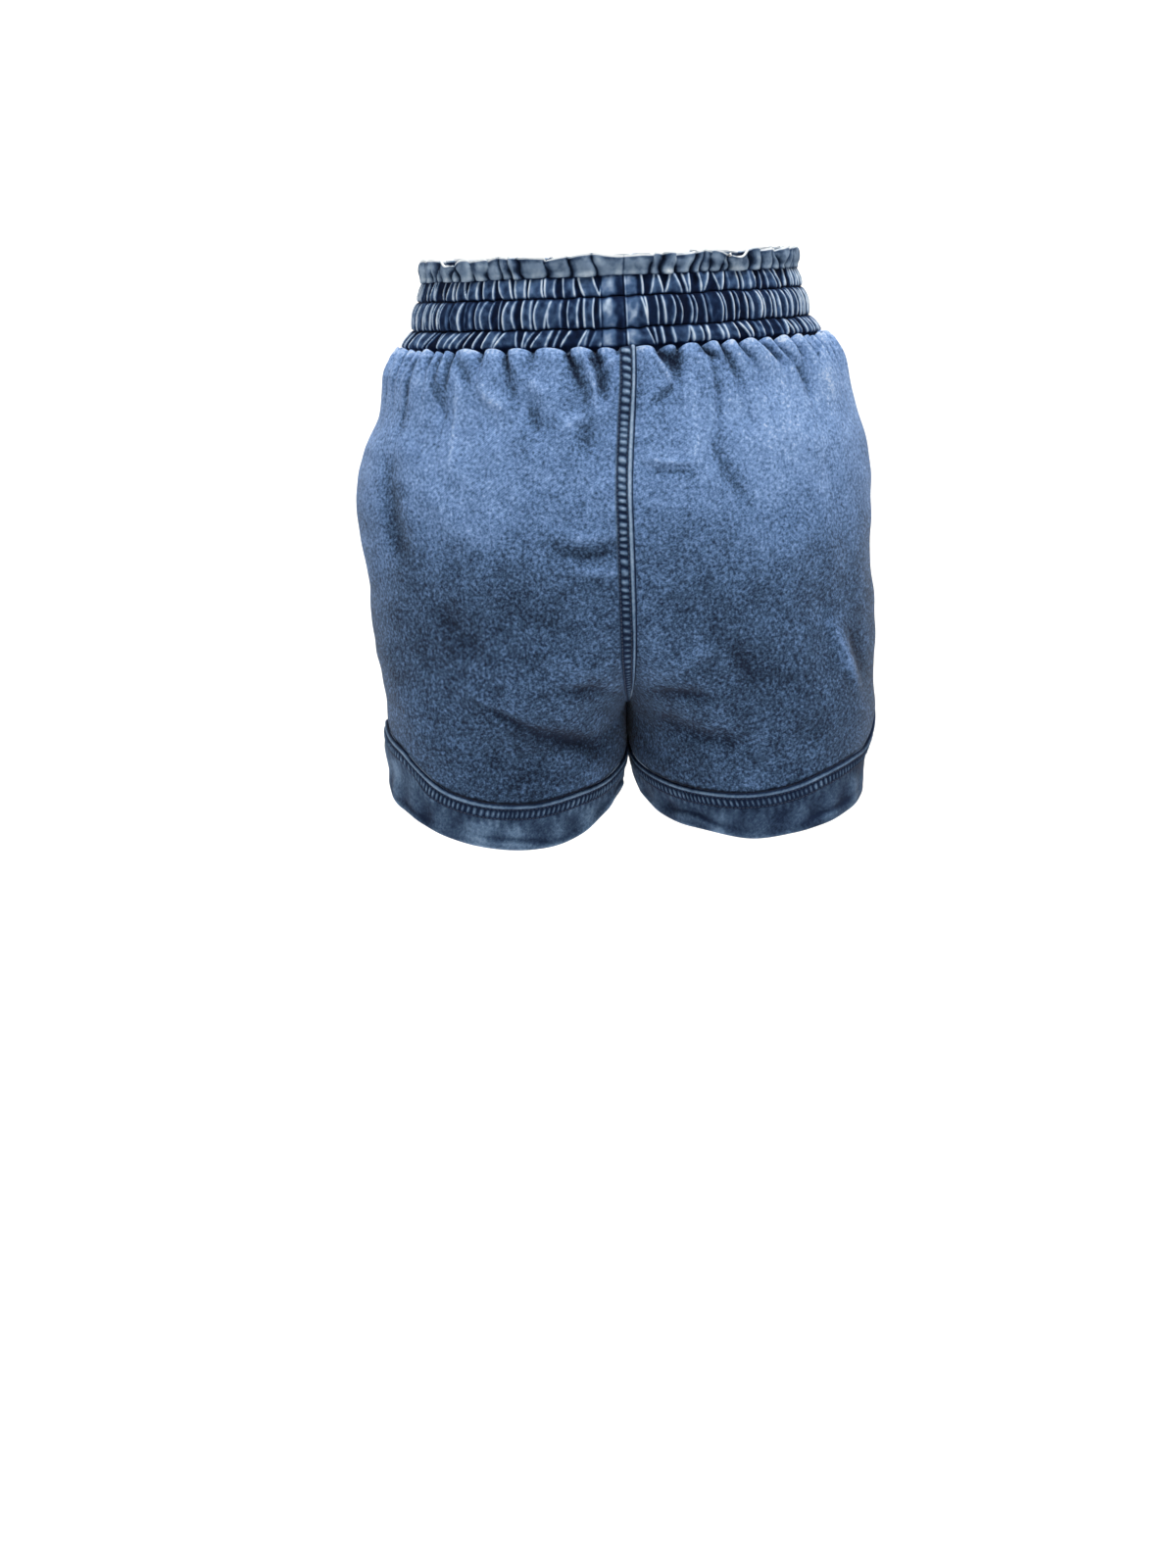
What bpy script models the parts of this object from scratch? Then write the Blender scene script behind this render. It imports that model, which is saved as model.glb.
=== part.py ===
"""Pull-on denim shorts with a gathered paperbag waist, in their hollow worn form.

Metres, +Z up. +X is the wearer's right, +Y the wearer's front. The origin is on the
body's axis at the middle of the gathered waistband, where the elastic grips the waist.

Every cloth piece is an open grid, a loft between unlike sections, that Solidify turns
into a wall. A grid column runs at a constant share of the way round, from the side seam
to the centre seam or inseam. A grid row runs from the waist down to the hem.
"""

import math

import bpy
import numpy as np

# ---- cloth ---------------------------------------------------------------------------
PANEL_WALL = 0.0015      # one layer of denim
WAIST_WALL = 0.0022      # two layers and the elastic between them
HEM_WALL = 0.0020        # hem band, folded double
SEAM_GAP = 0.0005        # clear space between two pieces at a seam

# ---- the figure's girths, one row a height -------------------------------------------
GIRTH_COLUMNS = ("height", "half_width", "back_depth", "front_depth")
GIRTHS = (
    (0.044, 0.1500, 0.1250, 0.1130),
    (-0.023, 0.1712, 0.1320, 0.1200),
    (-0.044, 0.1825, 0.1385, 0.1260),
    (-0.075, 0.1920, 0.1465, 0.1310),
    (-0.106, 0.2020, 0.1545, 0.1350),
    (-0.140, 0.2075, 0.1600, 0.1370),
    (-0.175, 0.2080, 0.1620, 0.1375),
    (-0.215, 0.2065, 0.1590, 0.1360),
    (-0.255, 0.2055, 0.1510, 0.1320),
    (-0.292, 0.2040, 0.1400, 0.1270),
    (-0.325, 0.2015, 0.1280, 0.1200),
    (-0.350, 0.2010, 0.1200, 0.1150),
    (-0.384, 0.1980, 0.1130, 0.1100),
    (-0.423, 0.1960, 0.1100, 0.1080),
)
FULLNESS = 0.93          # below 1, a section is fuller than an ellipse

# ---- seat, crotch and legs -----------------------------------------------------------
WAIST_SEAM = -0.023      # height of the seam between waistband and panels
WAIST_SEAM_DIP = 0.003   # how much lower that seam is at the centre back
FORK_START = -0.215      # height where the trunk begins to divide into two legs
CROTCH = -0.315          # height of the crotch point
FORK_FORWARD = 0.008     # the crotch point and inseams lie this far forward
LEG_GAP = 0.005          # clear space between the two legs
LEG_PARTING = 0.020      # length below the crotch in which that space opens

# Height of a leg's two lower edges, by the share of the way round from side to inseam.
EDGE_COLUMNS = ("share", "seam", "hem")
BACK_EDGES = (
    (0.00, -0.326, -0.371),
    (0.06, -0.335, -0.386),
    (0.12, -0.345, -0.394),
    (0.20, -0.356, -0.402),
    (0.30, -0.369, -0.411),
    (0.42, -0.380, -0.419),
    (0.54, -0.384, -0.423),
    (0.68, -0.379, -0.416),
    (0.79, -0.372, -0.407),
    (0.90, -0.361, -0.396),
    (1.00, -0.350, -0.385),
)
FRONT_EDGES = (
    (0.00, -0.326, -0.371),
    (0.10, -0.339, -0.384),
    (0.20, -0.350, -0.392),
    (0.32, -0.360, -0.400),
    (0.50, -0.367, -0.406),
    (0.70, -0.364, -0.402),
    (0.85, -0.358, -0.395),
    (1.00, -0.350, -0.385),
)

# ---- grids ---------------------------------------------------------------------------
PANEL_COLUMNS = 24       # facets of a panel from side seam to centre seam
TRUNK_ROWS = 7           # facets from the waist to the fork
FORK_ROWS = 4            # facets from the fork to the crotch point
LEG_ROWS = 2             # facets from the crotch point to the hem band
HEM_COLUMNS = 16
HEM_ROWS = 2

# ---- gathers below the waist seam ----------------------------------------------------
PUFFS = 6                # large puffs in a quarter of the waist
PUFF_HEIGHT = 0.0040
PUFF_FADE = 0.045        # length in which a puff dies away

# ---- largest folds: share round and height of both ends, half width, height outwards --
FOLD_COLUMNS = ("share_a", "height_a", "share_b", "height_b", "half_width", "rise")
FOLD_MAP_ARC = 0.30      # a quarter's length round, used to measure distance on a panel
BACK_LEFT_FOLDS = (
    (0.10, -0.100, 0.13, -0.215, 0.011, -0.0030),
    (0.50, -0.030, 0.42, -0.120, 0.010, 0.0025),
    (0.78, -0.175, 0.93, -0.175, 0.009, 0.0030),
    (0.52, -0.300, 0.80, -0.335, 0.010, -0.0030),
    (0.98, -0.290, 0.70, -0.270, 0.010, 0.0025),
)
BACK_RIGHT_FOLDS = (
    (0.74, -0.030, 0.60, -0.180, 0.010, -0.0030),
    (0.93, -0.040, 0.88, -0.080, 0.010, -0.0030),
    (0.20, -0.250, 0.12, -0.320, 0.010, 0.0030),
    (0.98, -0.290, 0.66, -0.285, 0.010, 0.0025),
    (0.60, -0.225, 0.45, -0.320, 0.012, -0.0020),
)
FRONT_LEFT_FOLDS = (
    (0.62, -0.030, 0.55, -0.130, 0.011, -0.0025),
    (0.96, -0.285, 0.55, -0.245, 0.011, 0.0030),
    (0.90, -0.300, 0.60, -0.330, 0.010, -0.0025),
)
FRONT_RIGHT_FOLDS = (
    (0.45, -0.030, 0.50, -0.115, 0.011, -0.0025),
    (0.97, -0.280, 0.60, -0.230, 0.011, 0.0030),
    (0.88, -0.300, 0.50, -0.325, 0.010, -0.0025),
)

# ---- gathered waistband, one row a stitch line or the middle of a casing --------------
WAIST_COLUMNS = ("height", "half_width", "back_depth", "front_depth", "pleat", "ruffle")
WAISTBAND = (
    (0.0440, 0.1510, 0.1260, 0.1140, 0.0000, 0.0045),
    (0.0360, 0.1515, 0.1250, 0.1130, 0.0005, 0.0035),
    (0.0280, 0.1500, 0.1225, 0.1110, 0.0006, 0.0008),
    (0.0200, 0.1550, 0.1270, 0.1150, 0.0022, 0.0000),
    (0.0120, 0.1545, 0.1250, 0.1135, 0.0006, 0.0000),
    (0.0000, 0.1610, 0.1300, 0.1185, 0.0024, 0.0000),
    (-0.0110, 0.1600, 0.1280, 0.1170, 0.0006, 0.0000),
    (-0.0165, 0.1680, 0.1322, 0.1205, 0.0020, 0.0000),
    (-0.0226, 0.1692, 0.1328, 0.1210, 0.0006, 0.0000),
)
PLEATS = 48              # pleats round the waist, each a crest and a valley
RUFFLES = 13             # large waves round the free top edge

# ---- colours, linear -----------------------------------------------------------------
DENIM_BODY = (0.130, 0.225, 0.400)
DENIM_HEM = (0.100, 0.175, 0.310)
DENIM_WAIST = (0.075, 0.120, 0.210)


def smooth_table(table, columns, name, at):
    """A named column of a table at the places `at`, by a curve with the rows' mean slopes."""
    rows = np.array(sorted(table))
    places, values = rows[:, 0], rows[:, columns.index(name)]
    slopes = np.gradient(values, places)
    at = np.clip(at, places[0], places[-1])
    left = np.clip(np.searchsorted(places, at) - 1, 0, len(places) - 2)
    span = places[left + 1] - places[left]
    t = (at - places[left]) / span
    return (
        (1 + 2 * t) * (1 - t) ** 2 * values[left]
        + t * (1 - t) ** 2 * span * slopes[left]
        + t * t * (3 - 2 * t) * values[left + 1]
        - t * t * (1 - t) * span * slopes[left + 1]
    )


def fuller(value):
    """A sine or cosine drawn out towards 1, so that a section is fuller than an ellipse."""
    return np.sign(value) * np.abs(value) ** FULLNESS


def quarter_point(share, height, fork, back):
    """Points on the right half of the form: `fork` is 0 on the trunk and 1 on a leg.

    The trunk's section is one closed curve. Its two halves move apart as the fork grows,
    and each closes into a leg, which leaves the curve of the crotch between them.
    """
    depth_name = "back_depth" if back else "front_depth"
    half_width = smooth_table(GIRTHS, GIRTH_COLUMNS, "half_width", height)
    depth = smooth_table(GIRTHS, GIRTH_COLUMNS, depth_name, height)
    parted = np.clip((CROTCH - height) / LEG_PARTING, 0, 1)
    inner = SEAM_GAP / 2 + parted * (LEG_GAP - SEAM_GAP) / 2
    centre = (half_width + inner) * fork / (1 + fork)
    radius = half_width - centre
    reach = np.clip((inner - centre) / radius, -1, 1)
    last = np.arccos(np.sign(reach) * np.abs(reach) ** (1 / FULLNESS))
    turn = share * last
    x = centre + radius * fuller(np.cos(turn))
    y = depth * fuller(np.sin(turn)) * (-1 if back else 1)
    return np.stack([x, y + FORK_FORWARD * fork, height], axis=-1)


def panel_rows():
    """Heights at the inner edge of a panel's rows, and how far each row is forked.

    Rows crowd together towards the crotch point, where the centre seam runs forward
    under the body on a quarter of an ellipse.
    """
    trunk = np.linspace(WAIST_SEAM, FORK_START, TRUNK_ROWS + 1)
    angle = np.linspace(0, math.pi / 2, FORK_ROWS + 1)[1:]
    fork = FORK_START - (FORK_START - CROTCH) * np.sin(angle)
    inseam = smooth_table(BACK_EDGES, EDGE_COLUMNS, "seam", np.array([1.0]))[0]
    leg = np.linspace(CROTCH, inseam, LEG_ROWS + 1)[1:]
    heights = np.concatenate([trunk, fork, leg])
    forked = np.concatenate([np.zeros(len(trunk)), np.sin(angle), np.ones(len(leg))])
    return heights, forked


def seam_shares(columns):
    """Column places from side to centre, each end set in by half a seam's gap."""
    inset = SEAM_GAP / 2 / FOLD_MAP_ARC
    return np.linspace(inset, 1 - inset, columns + 1)


def fold_field(share, height, folds):
    """Rise of a panel's folds: each a soft ridge or trough on a line that tapers out."""
    rise = np.zeros_like(share)
    around = share * FOLD_MAP_ARC
    for row in folds:
        fold = dict(zip(FOLD_COLUMNS, row))
        start = np.array([fold["share_a"] * FOLD_MAP_ARC, fold["height_a"]])
        along = np.array([fold["share_b"] * FOLD_MAP_ARC, fold["height_b"]]) - start
        length = np.hypot(*along)
        along = along / length
        du, dz = around - start[0], height - start[1]
        run = (du * along[0] + dz * along[1]) / length
        off = (du * along[1] - dz * along[0]) / fold["half_width"]
        past = np.maximum(np.maximum(-run, run - 1), 0) * length / fold["half_width"]
        taper = 0.35 + 0.65 * np.sin(math.pi * np.clip(run, 0, 1))
        rise += fold["rise"] * taper * np.exp(-off**2 - past**2)
    return rise


def puff_field(share, height):
    """Rise of the gathers: rounded puffs under the waist seam that die away downwards."""
    wave = np.abs(np.sin(math.pi * PUFFS * share)) ** 0.8
    fade = np.exp(-np.maximum(WAIST_SEAM - height, 0) / PUFF_FADE)
    return PUFF_HEIGHT * wave * fade


def grid_normals(points):
    """Outward unit normals of a grid on the form, from its two directions."""
    normals = np.cross(np.gradient(points, axis=0), np.gradient(points, axis=1))
    normals /= np.linalg.norm(normals, axis=-1, keepdims=True)
    middle = points.shape[0] // 4, points.shape[1] // 4
    outward = points[middle] * (1, 1, 0)
    return normals if np.dot(normals[middle], outward) > 0 else -normals


def panel_grid(back, folds):
    """Grid of a right-hand panel from the waist seam to the hem band's seam."""
    edges = BACK_EDGES if back else FRONT_EDGES
    heights, forked = panel_rows()
    share, inner_height = np.meshgrid(seam_shares(PANEL_COLUMNS), heights)
    fork = np.repeat(forked[:, None], share.shape[1], axis=1)
    seam = smooth_table(edges, EDGE_COLUMNS, "seam", share)
    run = (WAIST_SEAM - inner_height) / (WAIST_SEAM - heights[-1])
    height = inner_height + run**1.6 * (seam - heights[-1])
    dip = WAIST_SEAM_DIP * share**2 if back else 0.0
    height = height - SEAM_GAP * (1 - run) - dip * (1 - run) + SEAM_GAP / 2 * run
    points = quarter_point(share, height, fork, back)
    rise = fold_field(share, height, folds) + puff_field(share, height)
    rise *= np.clip((height - seam) / 0.02, 0, 1)
    seams = np.clip(np.minimum(share, 1 - share) / 0.03, 0, 1)
    return points + grid_normals(points) * (rise * seams)[..., None]


def hem_grid(back):
    """Grid of a right-hand hem band, from its seam down to the hem."""
    edges = BACK_EDGES if back else FRONT_EDGES
    rows = np.linspace(0, 1, HEM_ROWS + 1)
    share, down = np.meshgrid(seam_shares(HEM_COLUMNS), rows)
    seam = smooth_table(edges, EDGE_COLUMNS, "seam", share) - SEAM_GAP / 2
    hem = smooth_table(edges, EDGE_COLUMNS, "hem", share)
    return quarter_point(share, seam + down * (hem - seam), np.ones_like(share), back)


def waistband_grid():
    """Grid of the waistband strip, from its join at the centre back all the way round."""
    gap_angle = SEAM_GAP / 2 / WAISTBAND[0][2]
    turn = np.linspace(gap_angle, 2 * math.pi - gap_angle, 2 * PLEATS + 1) - math.pi / 2
    rows = []
    for row in WAISTBAND:
        band = dict(zip(WAIST_COLUMNS, row))
        pleat = np.where(np.arange(len(turn)) % 2, 1.0, -1.0) * band["pleat"]
        ruffle = np.sin(RUFFLES * turn + 1.3 * np.sin(2 * turn)) * band["ruffle"]
        back_side = np.sin(turn) < 0
        depth = np.where(back_side, band["back_depth"], band["front_depth"])
        out = pleat + ruffle
        x = (band["half_width"] + out) * fuller(np.cos(turn))
        y = (depth + out) * fuller(np.sin(turn))
        share = np.arcsin(np.clip(-np.sin(turn), 0, 1)) * 2 / math.pi
        dip = WAIST_SEAM_DIP * share**2
        near_seam = np.interp(band["height"], (WAIST_SEAM, 0.028), (1, 0))
        lift = 0.25 * ruffle * np.cos(turn * 5)
        rows.append(np.stack([x, y, band["height"] - dip * near_seam + lift], axis=-1))
    return np.array(rows)


def denim(name, colour):
    """A matt woven cotton."""
    material = bpy.data.materials.new(name)
    material.use_nodes = True
    shader = material.node_tree.nodes["Principled BSDF"]
    shader.inputs["Base Color"].default_value = (*colour, 1)
    shader.inputs["Roughness"].default_value = 0.85
    shader.inputs["Metallic"].default_value = 0.0
    material.diffuse_color = (*colour, 1)
    return material


def add_shell(name, grid, wall, colour, collection):
    """A wall of cloth: the grid's faces, turned outwards, and thickened to the inside."""
    rows, columns = grid.shape[:2]
    index = np.arange(rows * columns).reshape(rows, columns)
    faces = np.stack(
        [index[:-1, :-1], index[1:, :-1], index[1:, 1:], index[:-1, 1:]], axis=-1
    ).reshape(-1, 4)
    middle = grid[rows // 4, columns // 4]
    down = grid[rows // 4 + 1, columns // 4] - middle
    across = grid[rows // 4, columns // 4 + 1] - middle
    if np.dot(np.cross(down, across), middle * (1, 1, 0)) < 0:
        faces = faces[:, ::-1]
    mesh = bpy.data.meshes.new(name)
    mesh.from_pydata(grid.reshape(-1, 3).tolist(), [], faces.tolist())
    mesh.materials.append(denim(name + "_denim", colour))
    piece = bpy.data.objects.new(name, mesh)
    collection.objects.link(piece)
    solidify = piece.modifiers.new("wall", "SOLIDIFY")
    solidify.thickness = wall
    solidify.offset = -1
    solidify.use_even_offset = True
    return piece


def add_panels(collection):
    """The four body panels. Each side's folds are its own."""
    panels = (
        ("back_panel_right", True, 1, BACK_RIGHT_FOLDS),
        ("back_panel_left", True, -1, BACK_LEFT_FOLDS),
        ("front_panel_right", False, 1, FRONT_RIGHT_FOLDS),
        ("front_panel_left", False, -1, FRONT_LEFT_FOLDS),
    )
    for name, back, side, folds in panels:
        grid = panel_grid(back, folds) * (side, 1, 1)
        add_shell(name, grid, PANEL_WALL, DENIM_BODY, collection)


def add_hem_bands(collection):
    """The four curved hem bands, a back and a front one on each leg."""
    for half, back in (("back", True), ("front", False)):
        for hand, side in (("right", 1), ("left", -1)):
            grid = hem_grid(back) * (side, 1, 1)
            add_shell(f"hem_band_{half}_{hand}", grid, HEM_WALL, DENIM_HEM, collection)


def main():
    for item in list(bpy.data.objects):
        bpy.data.objects.remove(item)
    collection = bpy.data.collections.new("denim_shorts")
    bpy.context.scene.collection.children.link(collection)
    add_shell("waistband", waistband_grid(), WAIST_WALL, DENIM_WAIST, collection)
    add_panels(collection)
    add_hem_bands(collection)


main()
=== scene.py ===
"""The looks of the denim shorts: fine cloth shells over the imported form, and their light.

Metres, +Z up, +X the wearer's right, +Y the wearer's front, origin at the middle of the
gathered waistband. Every cloth piece is a grid surface of two parameters: how far round
the body it lies, and how far down. Height fields for pleats, gathers, folds and seams
move its points along its own normals.
"""
import math

import bpy
import numpy as np
from mathutils import Matrix, Vector


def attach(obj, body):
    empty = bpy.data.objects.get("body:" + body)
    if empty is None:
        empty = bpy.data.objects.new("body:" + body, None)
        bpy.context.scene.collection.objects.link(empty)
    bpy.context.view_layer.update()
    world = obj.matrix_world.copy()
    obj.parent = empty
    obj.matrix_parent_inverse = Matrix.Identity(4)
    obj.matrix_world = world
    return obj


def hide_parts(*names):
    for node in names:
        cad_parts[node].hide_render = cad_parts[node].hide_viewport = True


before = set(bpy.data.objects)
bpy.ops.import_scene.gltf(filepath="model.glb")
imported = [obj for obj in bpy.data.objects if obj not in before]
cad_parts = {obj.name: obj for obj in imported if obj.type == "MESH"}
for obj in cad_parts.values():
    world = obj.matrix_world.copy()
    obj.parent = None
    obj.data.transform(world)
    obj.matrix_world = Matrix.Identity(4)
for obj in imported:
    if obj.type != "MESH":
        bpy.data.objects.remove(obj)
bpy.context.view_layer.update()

# ---- form: the body's half width and depths, going down -------------------------------
GIRTH_COLUMNS = ("height", "half_width", "back_depth", "front_depth")
GIRTHS = (
    (0.044, 0.1500, 0.1250, 0.1130),
    (-0.023, 0.1712, 0.1320, 0.1200),
    (-0.044, 0.1825, 0.1385, 0.1260),
    (-0.075, 0.1920, 0.1465, 0.1310),
    (-0.106, 0.2020, 0.1545, 0.1350),
    (-0.140, 0.2075, 0.1600, 0.1370),
    (-0.175, 0.2080, 0.1620, 0.1375),
    (-0.215, 0.2065, 0.1590, 0.1360),
    (-0.255, 0.2055, 0.1510, 0.1320),
    (-0.292, 0.2040, 0.1400, 0.1270),
    (-0.325, 0.2015, 0.1280, 0.1200),
    (-0.350, 0.2010, 0.1200, 0.1150),
    (-0.384, 0.1980, 0.1130, 0.1100),
    (-0.423, 0.1960, 0.1100, 0.1080),
)
WAIST_GIRTHS = (
    (0.0440, 0.1510, 0.1260, 0.1140),
    (0.0360, 0.1515, 0.1250, 0.1130),
    (0.0280, 0.1500, 0.1225, 0.1110),
    (0.0120, 0.1545, 0.1250, 0.1135),
    (-0.0110, 0.1600, 0.1280, 0.1170),
    (-0.0226, 0.1680, 0.1310, 0.1190),
)
FULLNESS = 0.93          # power that draws an ellipse out a little; 1 leaves it as it is
SEAM_GAP = 0.0005
WAIST_TOP = 0.044
HEADER_STITCH = 0.028    # the stitch line under the free ruffle
WAIST_SEAM = -0.023
WAIST_SEAM_DIP = 0.003   # how much lower the waist seam lies at the centre back
FORK_START = -0.215
CROTCH = -0.315
FORK_FORWARD = 0.008     # how far forward of the trunk's middle a leg's middle lies
LEG_GAP = 0.014          # between the legs once they have parted
LEG_PARTS = -0.362       # where they start to part
LEG_PARTING = 0.034      # and over what height they do
PANEL_ARC = 0.30         # a quarter's length round the hips, used for shares and weave
LEG_ARC = 0.33           # a half's length round a leg at the hem
WAIST_ARC = 0.242        # a quarter's length round the waist seam

# ---- cloth ---------------------------------------------------------------------------
PANEL_WALL = 0.0011
HEM_WALL = 0.0016        # folded double
SEAM_WALL = 0.0008       # a centre seam's strip, which lies on the panels
CASING_WALL = 0.0012
HEADER_WALL = 0.0014     # folded double
PANEL_TUCK = 0.0022      # how deep a panel's edge passes under its neighbour's
HEM_TUCK = 0.0026
WAIST_LEDGE = 0.0044     # how far a panel's top edge runs in under the waistband
CASING_TAIL = 0.0030     # each of two steps by which the lowest casing runs on inside

EDGE_COLUMNS = ("share", "seam", "hem")
LEFT_BACK_EDGES = (
    (0.00, -0.326, -0.368),
    (0.06, -0.331, -0.380),
    (0.12, -0.336, -0.389),
    (0.19, -0.343, -0.396),
    (0.29, -0.366, -0.408),
    (0.41, -0.380, -0.418),
    (0.54, -0.385, -0.423),
    (0.68, -0.379, -0.417),
    (0.79, -0.373, -0.404),
    (0.90, -0.361, -0.393),
    (1.00, -0.350, -0.385),
)
RIGHT_BACK_EDGES = (
    (0.00, -0.326, -0.370),
    (0.06, -0.342, -0.392),
    (0.13, -0.358, -0.403),
    (0.22, -0.364, -0.409),
    (0.33, -0.372, -0.416),
    (0.42, -0.380, -0.420),
    (0.53, -0.385, -0.423),
    (0.64, -0.383, -0.417),
    (0.79, -0.375, -0.409),
    (0.91, -0.364, -0.397),
    (1.00, -0.350, -0.385),
)
FRONT_EDGES = (
    (0.00, -0.326, -0.371),
    (0.10, -0.339, -0.384),
    (0.20, -0.350, -0.392),
    (0.32, -0.360, -0.400),
    (0.50, -0.367, -0.406),
    (0.70, -0.364, -0.402),
    (0.85, -0.358, -0.395),
    (1.00, -0.350, -0.385),
)

# ---- waistband casings, one row each --------------------------------------------------
CASING_COLUMNS = (
    "top", "bottom", "bulge", "pleats", "crest", "width", "lean_left", "lean_right", "bow",
    "merge", "shade",
)
CASINGS = (
    (0.0280, 0.0120, 0.0018, 132, 0.0028, 0.00085, 0.0010, -0.0010, 0.0012, 0.40, 0.36),
    (0.0120, -0.0110, 0.0032, 146, 0.0034, 0.00080, -0.0010, 0.0008, 0.0026, 0.06, 0.85),
    (-0.0110, -0.0246, 0.0022, 128, 0.0030, 0.00090, -0.0062, -0.0012, 0.0010, 0.34, 0.50),
)
CASING_NAMES = ("waist_casing_upper", "waist_casing_middle", "waist_casing_lower")
CASING_ROWS = (12, 15, 12)
WAIST_COLUMNS = 1540
HEADER_COLUMNS = 1090
FLAT_BACK = (-0.014, 0.013)     # the nearly ungathered stretch at the centre back
BAND_JOIN = 0.003               # where the waistband strip is joined

# ---- gathers under the waist seam: a pinch a row -------------------------------------
# arc is the place round the waist from the centre, to the wearer's right, length how far
# the pinch runs down, and lean how far its foot drifts to the right.
GATHER_COLUMNS = ("arc", "length", "depth", "lean")
BACK_GATHERS = (
    (-0.236, 0.022, 0.7, 0.000), (-0.221, 0.016, 0.6, 0.001), (-0.208, 0.034, 0.9, -0.002),
    (-0.191, 0.022, 0.8, 0.001), (-0.177, 0.014, 0.7, -0.001), (-0.165, 0.040, 1.1, -0.003),
    (-0.150, 0.014, 0.9, 0.001), (-0.139, 0.026, 1.1, 0.002), (-0.127, 0.030, 1.3, 0.002),
    (-0.100, 0.011, 0.9, 0.001), (-0.082, 0.026, 1.2, 0.009), (-0.062, 0.009, 0.7, 0.000),
    (-0.040, 0.030, 1.4, 0.011), (-0.023, 0.012, 1.0, 0.004), (-0.009, 0.007, 0.5, 0.000),
    (0.013, 0.016, 1.1, 0.006), (0.028, 0.014, 0.9, -0.002), (0.045, 0.012, 1.0, 0.010),
    (0.062, 0.030, 1.2, 0.008), (0.077, 0.020, 1.1, 0.010), (0.096, 0.016, 1.1, 0.012),
    (0.112, 0.026, 1.2, 0.014), (0.132, 0.016, 1.0, 0.006), (0.151, 0.024, 1.1, 0.007),
    (0.163, 0.016, 0.9, 0.002), (0.173, 0.018, 0.8, 0.003), (0.187, 0.028, 0.9, 0.002),
    (0.200, 0.014, 0.7, 0.000), (0.215, 0.026, 0.9, -0.002), (0.229, 0.016, 0.7, 0.001),
)
FRONT_GATHERS = (
    (-0.233, 0.016, 0.7, 0.000), (-0.216, 0.028, 0.9, 0.002), (-0.202, 0.014, 0.8, -0.001),
    (-0.185, 0.024, 1.0, -0.002), (-0.166, 0.014, 0.9, 0.001), (-0.149, 0.034, 1.2, -0.004),
    (-0.128, 0.014, 0.9, 0.001), (-0.112, 0.026, 1.2, -0.003), (-0.093, 0.012, 0.8, 0.000),
    (-0.075, 0.030, 1.2, 0.005), (-0.053, 0.012, 0.9, 0.001), (-0.034, 0.022, 1.1, -0.002),
    (-0.016, 0.012, 0.8, 0.001), (0.008, 0.020, 1.1, 0.003), (0.027, 0.012, 0.9, -0.001),
    (0.046, 0.032, 1.2, 0.006), (0.068, 0.012, 0.9, 0.001), (0.086, 0.024, 1.1, -0.003),
    (0.107, 0.014, 0.9, 0.002), (0.124, 0.032, 1.2, 0.006), (0.145, 0.014, 0.8, 0.000),
    (0.160, 0.026, 1.1, 0.003), (0.182, 0.016, 0.9, -0.002), (0.203, 0.030, 0.9, 0.001),
    (0.224, 0.016, 0.7, 0.000),
)
PUFF_RISE = 0.0052       # how far a gather stands out below the seam
PUFF_LIP = 0.0038        # how far it rolls up over the seam
CELL_REACH = 0.030       # how far past the last pinch or crease the cloth goes on alike

# ---- the hips' own shape: how far each side stands out from the even form -------------
SIDE_COLUMNS = ("height", "left", "right")
SIDE_SHIFTS = (
    (-0.023, 0.000, 0.001),
    (-0.050, 0.000, 0.003),
    (-0.075, -0.002, 0.001),
    (-0.106, 0.003, 0.000),
    (-0.138, 0.005, -0.002),
    (-0.170, 0.003, -0.003),
    (-0.202, -0.001, -0.002),
    (-0.234, 0.000, 0.001),
    (-0.267, -0.002, 0.002),
    (-0.303, -0.006, 0.003),
    (-0.324, -0.005, 0.004),
    (-0.350, -0.001, 0.003),
    (-0.367, -0.003, -0.001),
    (-0.380, 0.001, -0.003),
    (-0.423, 0.000, -0.001),
)

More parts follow.
